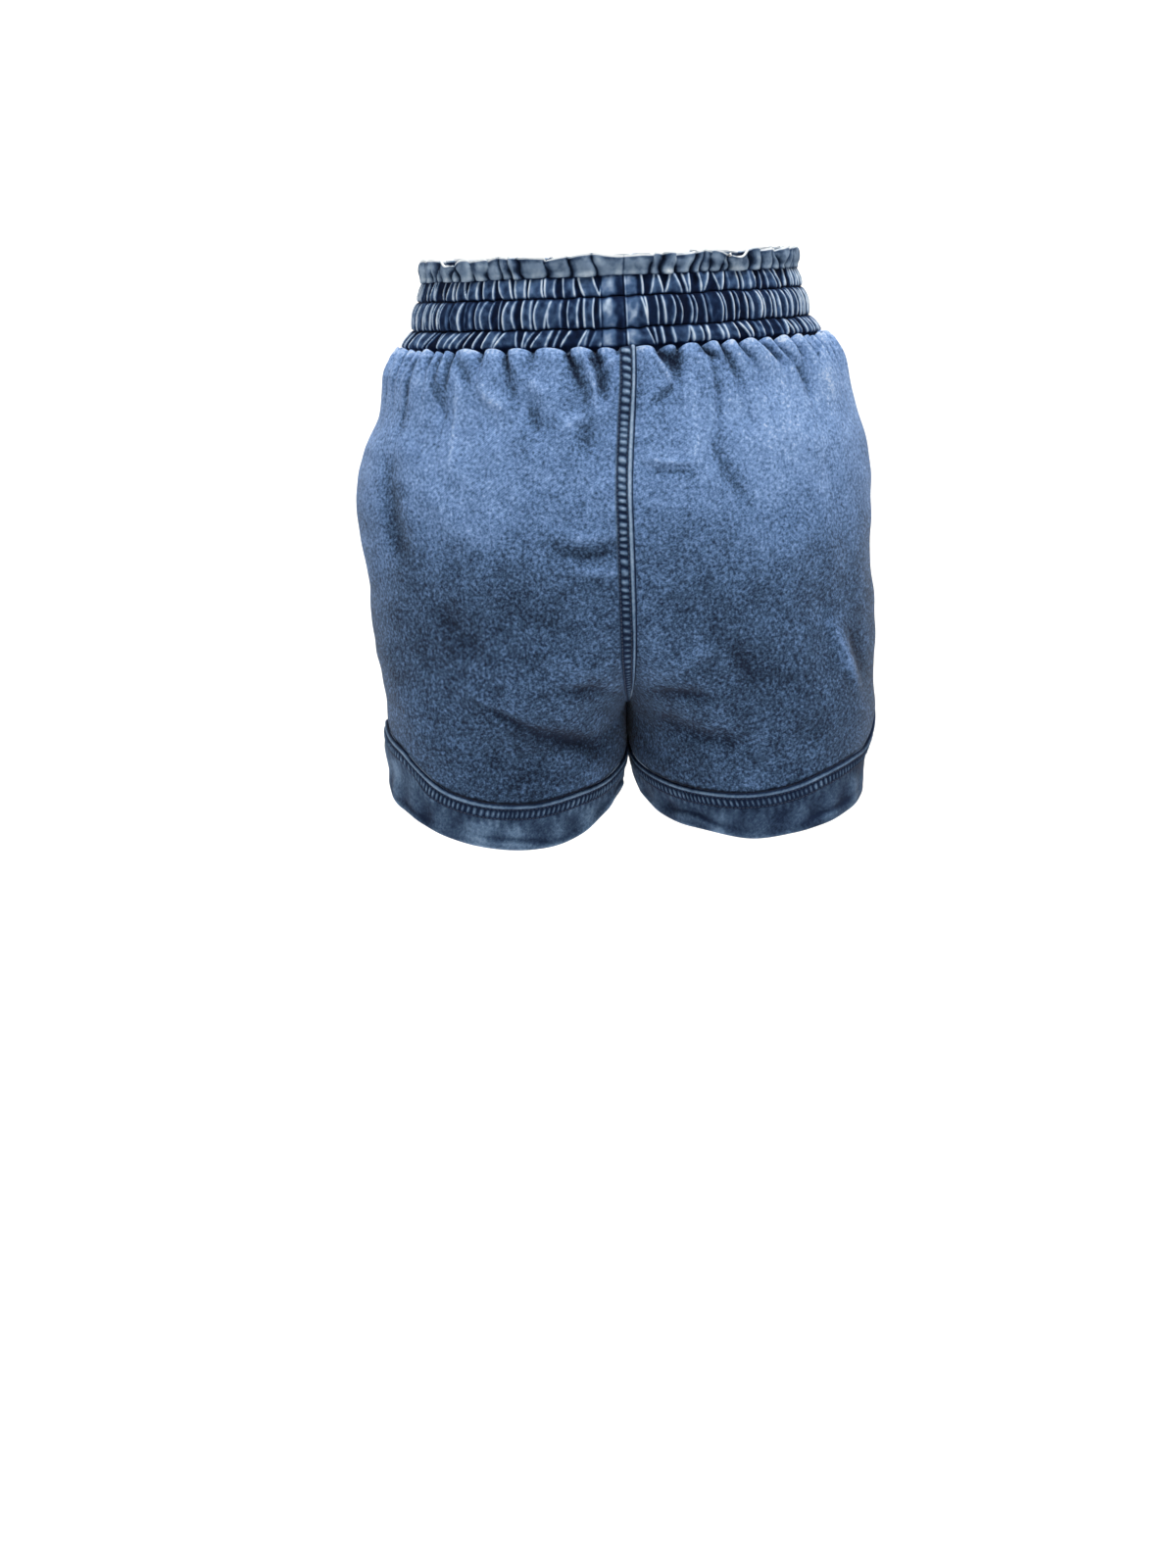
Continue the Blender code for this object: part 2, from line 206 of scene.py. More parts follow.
# ---- folds: ends, sideways bow, half width, rise outwards, painted light at the ridge (paler ridge, darker trough) ---
FOLD_COLUMNS = ("x_a", "z_a", "x_b", "z_b", "bow", "half_width", "rise", "fade")
BACK_FOLDS = (
    (-0.120, -0.024, -0.137, -0.118, 0.002, 0.0020, 0.0012, 0.26),
    (-0.126, -0.026, -0.122, -0.052, 0.000, 0.0042, -0.0020, -0.50),
    (-0.143, -0.050, -0.141, -0.076, 0.001, 0.0020, -0.0010, -0.35),
    (-0.112, -0.052, -0.094, -0.072, 0.002, 0.0050, 0.0016, 0.30),
    (-0.074, -0.048, -0.066, -0.064, 0.001, 0.0050, 0.0012, 0.25),
    (-0.040, -0.026, -0.030, -0.072, -0.003, 0.0024, 0.0030, 0.35),
    (-0.034, -0.030, -0.025, -0.066, -0.003, 0.0042, -0.0034, -0.60),
    (-0.030, -0.048, -0.012, -0.032, 0.000, 0.0030, 0.0016, 0.30),
    (-0.078, -0.068, -0.062, -0.088, 0.004, 0.0080, -0.0020, -0.25),
    (-0.052, -0.092, -0.034, -0.078, -0.003, 0.0050, 0.0014, 0.25),
    (-0.036, -0.084, -0.030, -0.108, 0.002, 0.0070, -0.0018, -0.30),
    (0.013, -0.030, 0.031, -0.058, 0.000, 0.0016, 0.0022, 0.55),
    (0.018, -0.024, 0.036, -0.054, -0.003, 0.0050, -0.0032, -0.60),
    (0.031, -0.058, 0.014, -0.072, 0.000, 0.0032, -0.0018, -0.35),
    (0.044, -0.024, 0.060, -0.034, 0.001, 0.0030, -0.0014, -0.40),
    (0.058, -0.022, 0.070, -0.100, -0.004, 0.0034, -0.0020, -0.40),
    (0.064, -0.098, 0.090, -0.150, 0.003, 0.0060, -0.0020, -0.35),
    (0.046, -0.050, 0.050, -0.120, -0.001, 0.0030, 0.0007, 0.18),
    (0.100, -0.016, 0.122, -0.046, 0.002, 0.0014, 0.0016, 0.55),
    (0.106, -0.018, 0.127, -0.046, 0.002, 0.0040, -0.0022, -0.45),
    (0.140, -0.030, 0.150, -0.076, 0.002, 0.0040, -0.0016, -0.30),
    (0.158, -0.030, 0.170, -0.080, 0.002, 0.0036, 0.0012, 0.25),
    (0.008, -0.112, 0.050, -0.116, 0.002, 0.0026, 0.0009, 0.20),
    (0.012, -0.120, 0.046, -0.123, 0.002, 0.0040, -0.0012, -0.22),
    (-0.186, -0.104, -0.178, -0.186, 0.004, 0.0075, -0.0030, -0.40),
    (-0.060, -0.168, -0.012, -0.168, 0.005, 0.0050, 0.0018, 0.18),
    (-0.062, -0.179, -0.010, -0.179, 0.005, 0.0070, -0.0022, -0.30),
    (-0.046, -0.196, -0.006, -0.198, 0.002, 0.0040, 0.0014, 0.22),
    (0.158, -0.246, 0.184, -0.312, 0.000, 0.0050, 0.0022, 0.35),
    (0.176, -0.256, 0.192, -0.306, 0.000, 0.0060, -0.0016, -0.25),
    (-0.120, -0.300, -0.076, -0.326, 0.003, 0.0040, -0.0016, -0.35),
    (-0.128, -0.292, -0.104, -0.306, 0.001, 0.0030, 0.0010, 0.18),
    (-0.088, -0.328, -0.022, -0.350, -0.004, 0.0070, -0.0026, -0.40),
    (-0.018, -0.286, -0.076, -0.262, 0.003, 0.0060, 0.0020, 0.15),
    (-0.014, -0.300, -0.066, -0.292, 0.003, 0.0055, -0.0022, -0.30),
    (0.012, -0.288, 0.066, -0.262, -0.003, 0.0060, 0.0020, 0.15),
    (0.012, -0.302, 0.060, -0.304, -0.003, 0.0055, -0.0022, -0.30),
    (0.018, -0.322, 0.082, -0.342, 0.004, 0.0070, -0.0022, -0.30),
    (0.060, -0.240, 0.118, -0.300, 0.006, 0.0100, -0.0016, -0.15),
    (-0.160, -0.220, -0.120, -0.268, -0.004, 0.0110, -0.0014, -0.12),
    (0.084, -0.170, 0.138, -0.196, 0.004, 0.0110, 0.0014, 0.10),
    (-0.150, -0.150, -0.100, -0.172, 0.004, 0.0120, 0.0014, 0.10),
)
FRONT_FOLDS = (
    (-0.110, -0.026, -0.098, -0.110, 0.004, 0.0040, -0.0022, -0.40),
    (0.088, -0.026, 0.102, -0.092, -0.003, 0.0036, -0.0020, -0.40),
    (-0.036, -0.026, -0.046, -0.070, 0.002, 0.0030, 0.0018, 0.35),
    (0.034, -0.030, 0.024, -0.084, 0.002, 0.0040, -0.0018, -0.30),
    (-0.012, -0.276, -0.100, -0.232, 0.006, 0.0070, 0.0026, 0.20),
    (-0.014, -0.290, -0.092, -0.266, 0.005, 0.0070, -0.0026, -0.30),
    (0.012, -0.272, 0.110, -0.226, -0.006, 0.0070, 0.0026, 0.20),
    (0.014, -0.288, 0.086, -0.272, -0.004, 0.0070, -0.0024, -0.30),
    (0.020, -0.310, 0.100, -0.330, 0.004, 0.0080, -0.0022, -0.25),
    (-0.022, -0.312, -0.110, -0.322, -0.004, 0.0080, -0.0022, -0.25),
    (-0.150, -0.130, -0.110, -0.160, 0.004, 0.0110, 0.0014, 0.10),
    (0.110, -0.170, 0.160, -0.150, 0.004, 0.0110, -0.0014, -0.10),
)

# ---- seams ---------------------------------------------------------------------------
FELL_STRIP = 0.0085      # puckered width between the twin stitch lines
FELL_RIDGE = 0.0032      # pressed edge beside them
SEAM_TURN = 0.009        # how far the centre back seam wanders right at the waist
CENTRE_ROPING = 0.0060   # mean spacing of the puckers down the centre seams
HEM_ROPING = 0.0043      # and along the hem seams
HEM_FELL = 0.0140        # a hem's felled width, from its fold to past the lower stitch line
STITCH_LINES = (0.0044, 0.0119)     # the twin stitch lines' places across a felled seam
STITCH = 0.0031          # length of a stitch and its gap
THREAD = 0.00042         # thread radius

# ---- colours, sRGB -------------------------------------------------------------------
PALE_THREAD = "#c3d3e8"
DEEP_INDIGO = "#14233d"
REVERSE_BLUE = "#7e92ad"
PAPER = "#f4f3f1"

rng = np.random.default_rng(41)


# ---- tables and fields ---------------------------------------------------------------
def smooth_table(table, columns, name, at):
    """A named column of a table at the places `at`, by a curve with the rows' mean slopes."""
    rows = np.array(sorted(table))
    places, values = rows[:, 0], rows[:, columns.index(name)]
    slopes = np.gradient(values, places)
    at = np.clip(at, places[0], places[-1])
    left = np.clip(np.searchsorted(places, at) - 1, 0, len(places) - 2)
    span = places[left + 1] - places[left]
    t = (at - places[left]) / span
    return (
        (1 + 2 * t) * (1 - t) ** 2 * values[left]
        + t * (1 - t) ** 2 * span * slopes[left]
        + t * t * (3 - 2 * t) * values[left + 1]
        - t * t * (1 - t) * span * slopes[left + 1]
    )


def step(a, b, x):
    """A smooth rise from 0 at a to 1 at b."""
    t = np.clip((x - a) / (b - a), 0, 1)
    return t * t * (3 - 2 * t)


def bump(x, centre, half_width):
    """A rounded hill, e to the minus the square of the distance in half widths."""
    return np.exp(-(((x - centre) / half_width) ** 2))


def ring_noise(u, length, spacing):
    """Smooth noise of unit size round a closed length: a curve through random values."""
    count = max(4, int(round(length / spacing)))
    values = rng.uniform(-1, 1, count)
    place = (u / length * count) % count
    index = place.astype(int)
    t = place - index
    t = t * t * (3 - 2 * t)
    return values[index % count] * (1 - t) + values[(index + 1) % count] * t


def cloud(x, z, size):
    """Soft random hills of unit size about `size` across: a sum of waves in many directions."""
    turn = rng.uniform(0, 2 * math.pi, 14)
    phase = rng.uniform(0, 2 * math.pi, 14)
    pitch = 2 * math.pi / size * rng.uniform(0.5, 1.1, 14)
    wave = np.zeros_like(x)
    for a, p, k in zip(turn, phase, pitch):
        wave += np.sin(k * (x * math.cos(a) + z * math.sin(a)) + p)
    return wave / math.sqrt(14)


# ---- form ----------------------------------------------------------------------------
def fuller(value):
    """A sine or cosine drawn out towards 1, so that a section is fuller than an ellipse."""
    return np.sign(value) * np.abs(value) ** FULLNESS


def quarter_point(share, height, fork, back):
    """Points on the right half of the form.

    The section is an ellipse on the trunk. As the fork grows from 0 to 1 the half's
    centre moves out and its radius shrinks, until the half is a closed leg.
    """
    depth_name = "back_depth" if back else "front_depth"
    half_width = smooth_table(GIRTHS, GIRTH_COLUMNS, "half_width", height)
    depth = smooth_table(GIRTHS, GIRTH_COLUMNS, depth_name, height)
    parted = np.clip((LEG_PARTS - height) / LEG_PARTING, 0, 1)
    inner = parted * LEG_GAP / 2
    centre = (half_width + inner) * fork / (1 + fork)
    radius = half_width - centre
    reach = np.clip((inner - centre) / radius, -1, 1)
    last = np.arccos(np.sign(reach) * np.abs(reach) ** (1 / FULLNESS))
    turn = share * last
    x = centre + radius * fuller(np.cos(turn))
    y = depth * fuller(np.sin(turn)) * (-1 if back else 1)
    return np.stack([x, y + FORK_FORWARD * fork, height], axis=-1)


def grid_normals(points):
    """Outward unit normals of a grid, from its two directions."""
    normals = np.cross(np.gradient(points, axis=0), np.gradient(points, axis=1))
    normals /= np.linalg.norm(normals, axis=-1, keepdims=True) + 1e-12
    middle = points.shape[0] // 4, points.shape[1] // 4
    outward = points[middle] * (1, 1, 0)
    return normals if np.dot(normals[middle], outward) > 0 else -normals


def fold_field(x, z, folds):
    """Rise and colour of the listed folds.

    Each is a soft ridge or trough along an arc between two points, deepest in its middle third, with
    one flank steeper than the other. A ridge is paler, partly from abrasion and partly as painted
    highlight; a trough is darker, as painted shade.
    """
    rise, fade = np.zeros_like(x), np.zeros_like(x)
    for row in folds:
        fold = dict(zip(FOLD_COLUMNS, row))
        along = np.array([fold["x_b"] - fold["x_a"], fold["z_b"] - fold["z_a"]])
        length = np.hypot(*along)
        along /= length
        dx, dz = x - fold["x_a"], z - fold["z_a"]
        run = (dx * along[0] + dz * along[1]) / length
        off = dx * along[1] - dz * along[0]
        off = (off - 4 * fold["bow"] * run * (1 - run)) / fold["half_width"]
        off = np.where(off > 0, off * 1.25, off * 0.85)
        past = np.maximum(np.maximum(-run, run - 1), 0) * length / fold["half_width"]
        taper = 0.25 + 0.75 * np.sin(math.pi * np.clip(run, 0, 1)) ** 0.7
        shape = taper * np.exp(-(off**2) - past**2 * 0.5)
        rise += fold["rise"] * shape
        # painted light: ridges paler, troughs darker as painted shade
        fade += fold["fade"] * shape
    return rise, fade


def cell_places(at, walls, reach):
    """Where each place lies between walls: its share across, the wall's number, distances.

    The walls are rows of growing positions, one row a grid row. Past either end a wall is
    added `reach` away.
    """
    share = np.zeros((len(walls), at.shape[-1]))
    left, right, number = share.copy(), share.copy(), share.astype(int)
    for row, wall in enumerate(walls):
        here = at[row] if at.ndim == 2 else at
        ends = np.concatenate([[wall[0] - reach], wall, [wall[-1] + reach]])
        found = np.clip(np.searchsorted(ends, here, side="right") - 1, 0, len(ends) - 2)
        left[row] = np.maximum(here - ends[found], 0)
        right[row] = np.maximum(ends[found + 1] - here, 0)
        share[row] = np.clip(left[row] / (left[row] + right[row] + 1e-9), 0, 1)
        number[row] = found
    return share, number, left, right


def gather_field(arc, down, gathers, skew):
    """Rise, upward roll and colour of the puffs under the waist seam, the colour with painted light.

    Between two pinches a puff is a half round, (4 s (1 - s)) to a small power of its
    share s across. It stands out fully 7 mm down and dies away below. Its lip rolls up
    over the seam. A pinch is a valley that widens and fades as it runs down.
    """
    table = np.array(gathers)
    run = np.clip(down[:, :1] / table[None, :, 1], 0, 1.5)
    walls = np.maximum.accumulate(table[None, :, 0] + table[None, :, 3] * run, axis=1)
    share, number, left, right = cell_places(arc, walls, CELL_REACH)
    near = np.clip(np.where(left < right, number - 1, number), 0, len(table) - 1)
    away = np.minimum(left, right)
    puff = np.clip(4 * share**skew * (1 - share**skew), 0, 1) ** 0.5
    puff = puff * np.clip((left + right) / 0.014, 0.35, 1.1)
    out = np.sqrt(np.clip(down / 0.007, 0, 1)) * np.exp(-np.maximum(down - 0.007, 0) / 0.026)
    fall = down / table[near, 1]
    width = 0.0011 + 0.0035 * np.clip(fall, 0, 2)
    valley = table[near, 2] * np.exp(-((away / width) ** 1.3) - fall**1.5)
    lip = np.clip(down / 0.0016, 0, 9) * np.exp(1 - np.clip(down / 0.0016, 0, 9))
    rise = PUFF_RISE * out * puff - 0.0032 * valley * np.clip(down / 0.002, 0, 1)
    rise -= 0.0016 * np.exp(-down / 0.0006)
    lift = PUFF_LIP * puff * lip - 0.0044 * np.exp(-((down / 0.012) ** 2)) * (1.4 - 0.4 * puff)
    # colour: rolled lips and outstanding puffs paler, partly abraded and partly painted highlight;
    # painted shade in the pinches' valleys and between puffs near the seam
    fade = 0.36 * puff * bump(down, 0.0022, 0.0024) + 0.10 * puff * out
    return rise, lift, fade - 0.92 * valley - 0.42 * (1 - puff) * np.exp(-down / 0.004)


def seam_relief(across, along, roping):
    """Rise and fading of a felled seam's pressed ridge, puckered strip and stitch lines.

    `across` is measured from the seam's fold: ridge, stitch line, puckers, stitch line.
    The puckers are slanted bars, a squared raised cosine along the seam.
    """
    ridge_mid = 0.0008 + FELL_RIDGE / 2
    first = FELL_RIDGE + 0.0012
    second = first + FELL_STRIP - 0.0010
    inside = step(first - 0.0002, first + 0.0012, across)
    inside *= 1 - step(second - 0.0012, second + 0.0002, across)
    slanted = along + 0.22 * (across - first)
    wander = 1.7 * np.sin(along / 0.0117 + 1.0) + 1.2 * np.sin(along / 0.0067 + 2.0)
    wave = 0.5 * np.cos(2 * math.pi * slanted / roping + wander)
    bars = (0.5 + wave) ** 2
    bars *= 0.80 + 0.45 * np.sin(along / 0.017 + 0.6) * np.sin(along / 0.0091)
    cell = (0.5 - wave) ** 1.3
    cell *= bump(across, (first + second) / 2, FELL_STRIP * 0.34)
    plateau = step(0, 0.0008, across) * (1 - step(second, second + 0.0014, across))
    grooves = sum(bump(across, place, 0.0007) for place in (0, first, second))
    ridge = bump(across, ridge_mid, FELL_RIDGE * 0.42)
    rise = 0.0008 * plateau + 0.0007 * ridge + inside * (0.0009 * cell - 0.0007 * bars)
    rise -= 0.0008 * grooves
    fade = 0.62 * ridge + inside * (0.95 * cell - 0.85 * bars - 0.30) - 1.10 * grooves
    return rise, fade


# ---- meshes --------------------------------------------------------------------------
def linear(hex_colour):
    """sRGB hex to linear colour with alpha."""
    channels = [int(hex_colour[i : i + 2], 16) / 255 for i in (1, 3, 5)]
    turned = [c / 12.92 if c <= 0.04045 else ((c + 0.055) / 1.055) ** 2.4 for c in channels]
    return (*turned, 1.0)


def mesh_from(name, points, faces, values=None, weave=None):
    """A smooth-shaded mesh from arrays, with a value a point for wear and painted light, and a weave
    map.
    """
    mesh = bpy.data.meshes.new(name)
    mesh.vertices.add(len(points))
    mesh.vertices.foreach_set("co", np.ascontiguousarray(points, np.float32).ravel())
    sides = faces.shape[1]
    mesh.loops.add(faces.size)
    mesh.loops.foreach_set("vertex_index", np.ascontiguousarray(faces, np.int32).ravel())
    mesh.polygons.add(len(faces))
    starts = np.arange(0, faces.size, sides, dtype=np.int32)
    mesh.polygons.foreach_set("loop_start", starts)
    mesh.update(calc_edges=True)
    mesh.polygons.foreach_set("use_smooth", np.ones(len(faces), bool))
    if values is not None:
        layer = mesh.attributes.new("wear_and_painted_light", "FLOAT", "POINT")
        layer.data.foreach_set("value", np.ascontiguousarray(values, np.float32).ravel())
    if weave is not None:
        layer = mesh.uv_layers.new(name="weave")
        flat = weave.reshape(-1, 2)[faces.ravel()].astype(np.float32)
        layer.data.foreach_set("uv", np.ascontiguousarray(flat).ravel())
    mesh.validate()
    piece = bpy.data.objects.new(name, mesh)
    bpy.context.scene.collection.objects.link(piece)
    return piece


def cloth_shell(name, points, wear_and_painted_light, weave, wall, faced, reverse=None):
    """A grid of points as cloth: faces turned outwards, and a wall to the inside."""
    rows, columns = points.shape[:2]
    index = np.arange(rows * columns).reshape(rows, columns)
    faces = np.stack(
        [index[:-1, :-1], index[1:, :-1], index[1:, 1:], index[:-1, 1:]], axis=-1
    ).reshape(-1, 4)
    r, c = rows // 4, columns // 4
    normal = np.cross(points[r + 1, c] - points[r, c], points[r, c + 1] - points[r, c])
    if np.dot(normal, points[r, c] * (1, 1, 0)) < 0:
        faces = faces[:, ::-1]
    piece = mesh_from(name, points.reshape(-1, 3), faces, wear_and_painted_light, weave)
    piece.data.materials.append(faced)
    piece.data.materials.append(reverse or REVERSE)
    solidify = piece.modifiers.new("wall", "SOLIDIFY")
    solidify.thickness = wall
    solidify.offset = -1
    solidify.material_offset = 1
    solidify.material_offset_rim = 0
    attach(piece, "root")
    return piece


# ---- materials -----------------------------------------------------------------------
def node(tree, kind, inputs=None, links=None, **settings):
    """Adds a node with its settings, its inputs' values, and links into it."""
    made = tree.nodes.new(kind)
    for key, value in settings.items():
        setattr(made, key, value)
    for key, value in (inputs or {}).items():
        made.inputs[key].default_value = value
    for key, source in (links or {}).items():
        tree.links.new(source, made.inputs[key])
    return made


def colour_steps(ramp, steps):
    """Puts hex colours at their places on a ramp."""
    elements = ramp.color_ramp.elements
    while len(elements) > 1:
        elements.remove(elements[-1])
    elements[0].position, elements[0].color = steps[0][0], linear(steps[0][1])
    for place, colour in steps[1:]:
        elements.new(place).color = linear(colour)


def denim(name, steps, speckle=0.20, wear_and_painted_light=0.5, middle=0.5, gloss=0.20, nap=0.10):
    """Indigo cotton twill, yarn-dyed blue on white weft and garment-washed.

    The wear and painted light value sets the place on a ramp from unfaded indigo, which also serves
    as painted shade, to the white core that abrasion bares, which also serves as painted highlight.
    Speckle is the slubby yarn showing its core, clouds are the wash, and the fine
    diagonal is the twill line. Real yarns are 0.5 mm apart; the speckle is drawn at 2 mm
    and the twill at 1.1 mm, as coarse as they must be to show.
    """
    material = bpy.data.materials.new(name)
    material.use_nodes = True
    tree = material.node_tree
    shader = tree.nodes["Principled BSDF"]
    where = node(tree, "ShaderNodeTexCoord")
    # this value holds abrasion and wash, and also painted shade and painted highlight
    painted_light_and_wear_in = node(tree, "ShaderNodeAttribute", attribute_name="wear_and_painted_light")
    yarn = node(
        tree, "ShaderNodeTexNoise", {"Scale": 1 / 0.0025, "Detail": 3.0, "Roughness": 0.70},
        {"Vector": where.outputs["Object"]},
    )
    wash = node(
        tree, "ShaderNodeTexNoise", {"Scale": 1 / 0.034, "Detail": 3.0, "Roughness": 0.55},
        {"Vector": where.outputs["Object"]},
    )
    turned = node(
        tree, "ShaderNodeMapping", {"Rotation": (0, 0, math.radians(63))},
        {"Vector": where.outputs["UV"]},
    )
    twill = node(
        tree, "ShaderNodeTexWave",
        {"Scale": 1 / 0.0011 / 2 / math.pi * 2, "Distortion": 1.6, "Detail": 1.5},
        {"Vector": turned.outputs["Vector"]}, wave_type="BANDS", bands_direction="X",
    )
    parts = (
        (painted_light_and_wear_in.outputs["Fac"], wear_and_painted_light, 0.0),
        (yarn.outputs["Fac"], speckle * 2.4, 0.5),
        (wash.outputs["Fac"], 0.22, 0.5),
        (twill.outputs["Fac"], 0.10, 0.5),
    )
    total = None
    for source, weight, centre in parts:
        shift = node(
            tree, "ShaderNodeMath", {1: weight, 2: -weight * centre}, {0: source},
            operation="MULTIPLY_ADD",
        )
        if total is None:
            total = node(
                tree, "ShaderNodeMath", {1: middle}, {0: shift.outputs[0]}, operation="ADD"
            )
        else:
            total = node(
                tree, "ShaderNodeMath", None,
                {0: total.outputs[0], 1: shift.outputs[0]}, operation="ADD",
            )
    ramp = node(tree, "ShaderNodeValToRGB", None, {"Fac": total.outputs[0]})
    colour_steps(ramp, steps)
    height = node(
        tree, "ShaderNodeMath", {1: 0.5}, {0: twill.outputs["Fac"], 2: yarn.outputs["Fac"]},
        operation="MULTIPLY_ADD",
    )
    relief = node(
        tree, "ShaderNodeBump", {"Strength": 0.55, "Distance": 0.0005},
        {"Height": height.outputs[0]},
    )
    tree.links.new(ramp.outputs["Color"], shader.inputs["Base Color"])
    tree.links.new(relief.outputs["Normal"], shader.inputs["Normal"])
    shader.inputs["Roughness"].default_value = 0.86
    shader.inputs["Specular IOR Level"].default_value = gloss
    shader.inputs["Sheen Weight"].default_value = nap
    shader.inputs["Sheen Roughness"].default_value = 0.5
    return material


def spun_thread():
    """Navy polyester sewing thread, plied: a slight satin gleam on a dark line."""
    material = bpy.data.materials.new("navy_spun_thread")
    material.use_nodes = True
    tree = material.node_tree
    shader = tree.nodes["Principled BSDF"]
    where = node(tree, "ShaderNodeTexCoord")
    ply = node(
        tree, "ShaderNodeTexNoise", {"Scale": 1 / 0.0006, "Detail": 2.0},
        {"Vector": where.outputs["Object"]},
    )
    ramp = node(tree, "ShaderNodeValToRGB", None, {"Fac": ply.outputs["Fac"]})
    colour_steps(ramp, ((0.3, "#0f1b30"), (0.7, "#2a3d5e")))
    relief = node(
        tree, "ShaderNodeBump", {"Strength": 0.4, "Distance": 0.0002},
        {"Height": ply.outputs["Fac"]},
    )
    tree.links.new(ramp.outputs["Color"], shader.inputs["Base Color"])
    tree.links.new(relief.outputs["Normal"], shader.inputs["Normal"])
    shader.inputs["Roughness"].default_value = 0.55
    return material


# Each ramp's dark end is unfaded indigo and also painted shade; its pale end is abraded white core
# and also painted highlight.
BODY_STEPS = (
    (0.00, "#0e1b32"), (0.26, "#384f6c"), (0.50, "#6180ae"), (0.74, "#86a6d6"),
    (1.00, PALE_THREAD),
)
WAIST_STEPS = (
    (0.00, "#050f26"), (0.22, "#142645"), (0.46, "#4c688f"), (0.70, "#afc3da"),
    (1.00, "#eef3f8"),
)
HEADER_STEPS = (
    (0.00, "#111f36"), (0.24, "#3a4e6a"), (0.50, "#768ca6"), (0.74, "#a9bacb"),
    (1.00, "#eef2f5"),
)
HEM_STEPS = (
    (0.00, DEEP_INDIGO), (0.26, "#3b506c"), (0.50, "#66809f"), (0.74, "#93a9c4"),
    (1.00, PALE_THREAD),
)
REVERSE_STEPS = ((0.00, "#5d7088"), (0.50, REVERSE_BLUE), (1.00, "#a9b8ca"))
BODY = denim("washed_indigo_twill", BODY_STEPS, speckle=0.60, gloss=0.15, nap=0.06)
GATHERED = denim("gathered_indigo_twill", WAIST_STEPS, speckle=0.12, gloss=0.08, nap=0.0)
HEADER = denim("brushed_header_twill", HEADER_STEPS, speckle=0.18, gloss=0.1, nap=0.03)
HEM = denim("folded_hem_twill", HEM_STEPS, speckle=0.26, gloss=0.1, nap=0.03)
REVERSE = denim("twill_reverse", REVERSE_STEPS, speckle=0.2, wear_and_painted_light=0.15)
THREAD_FINISH = spun_thread()


# ---- body panels ---------------------------------------------------------------------
def seam_shares(columns):
    """Column places from side to centre, each end set in by half a seam's gap."""
    inset = SEAM_GAP / 2 / PANEL_ARC
    return np.linspace(inset, 1 - inset, columns + 1)


def side_shift(points, share, side):
    """Moves a right-hand piece's points out or in by its own side's shape.

    The shift is full at the side seam and dies away, as a squared share, by mid panel.
    """
    name = "right" if side > 0 else "left"
    shift = smooth_table(SIDE_SHIFTS, SIDE_COLUMNS, name, points[..., 2])
    moved = points.copy()
    moved[..., 0] += shift * np.clip(1 - share / 0.62, 0, 1) ** 1.2
    return moved


def fork_at(inner):
    """How far the trunk has become a leg, from 0 at FORK_START to 1 at the crotch.

    It starts without a kink, and ends at a slope that makes the seam's run a U.
    """
    t = np.clip((FORK_START - inner) / (FORK_START - CROTCH), 0, 1)
    return t * t * (2 - t)


def panel_rows(trunk_rows, fork_rows, leg_rows, inseam):
    """Each row's height at the side seam and at the centre seam.

    Between the fork's start and the crotch they are even at the side. At the centre they
    are as even along the seam's own curve as down it.
    """
    trunk = np.concatenate(
        [
            WAIST_SEAM - 0.016 * np.linspace(0, 1, 17)[:-1] ** 1.5,
            np.linspace(WAIST_SEAM - 0.016, FORK_START, trunk_rows),
        ]
    )
    fine = np.linspace(FORK_START, CROTCH, 2001)
    gone = np.linspace(0, 1, 2001) + np.arcsin(fork_at(fine) ** (1 / FULLNESS)) * 2 / math.pi
    even = np.linspace(0, 1, fork_rows + 1)[1:]
    leg = np.linspace(CROTCH, inseam, leg_rows + 1)[1:]
    at_side = FORK_START - (FORK_START - CROTCH) * even
    at_centre = np.interp(2 * even, gone, fine)
    return np.concatenate([trunk, at_side, leg]), np.concatenate([trunk, at_centre, leg])


def even_shares(share, fork):
    """Shares that keep a column's place on the outer half as the section turns to a leg.

    The added length of a leg's inner half goes to the last columns, by a fourth power.
    """
    last = np.arccos(-(fork ** (1 / FULLNESS)))
    return (share * math.pi / 2 + (last - math.pi / 2) * share**4) / last


def panel_form(share, inner_height, fork, edges, back):
    """The plain form of a right-hand panel, and its seam heights, before any relief."""
    inseam = edges[-1][1]
    seam = smooth_table(edges, EDGE_COLUMNS, "seam", share)
    run = np.clip((WAIST_SEAM - inner_height) / (WAIST_SEAM - inseam), 0, 1)
    height = inner_height + run**1.6 * (seam - inseam)
    dip = (WAIST_SEAM_DIP if back else 0) * share**2
    height = height - dip * (1 - run)
    return quarter_point(share, height, fork, back), seam, WAIST_SEAM - dip


def wash_and_painted_light(x, z):
    """The wash's tone with painted light: paler over the hips, the right hip most as a painted
    highlight, with a darker middle, and darker from the hips down and deeper below the seat as
    painted shade where the seat turns under.
    """
    # painted shade: darker from the hips down, where the seat turns away from the light above
    tone = 0.08 - 0.60 * step(-0.11, -0.24, z) - 0.04 * step(-0.25, -0.36, z)
    tone = tone + 0.10 * bump(x, 0.08, 0.06) * bump(z, -0.17, 0.05)
    # paler hips, the right one most: wash and painted highlight
    hips = 0.20 * bump(x, 0.150, 0.085) + 0.06 * bump(x, -0.150, 0.060)
    hips = hips - 0.14 * bump(x, -0.02, 0.080)
    clouds = 0.06 * cloud(x, z, 0.09) + 0.05 * cloud(x, z, 0.02)
    return tone + hips * step(-0.19, -0.07, z) + clouds


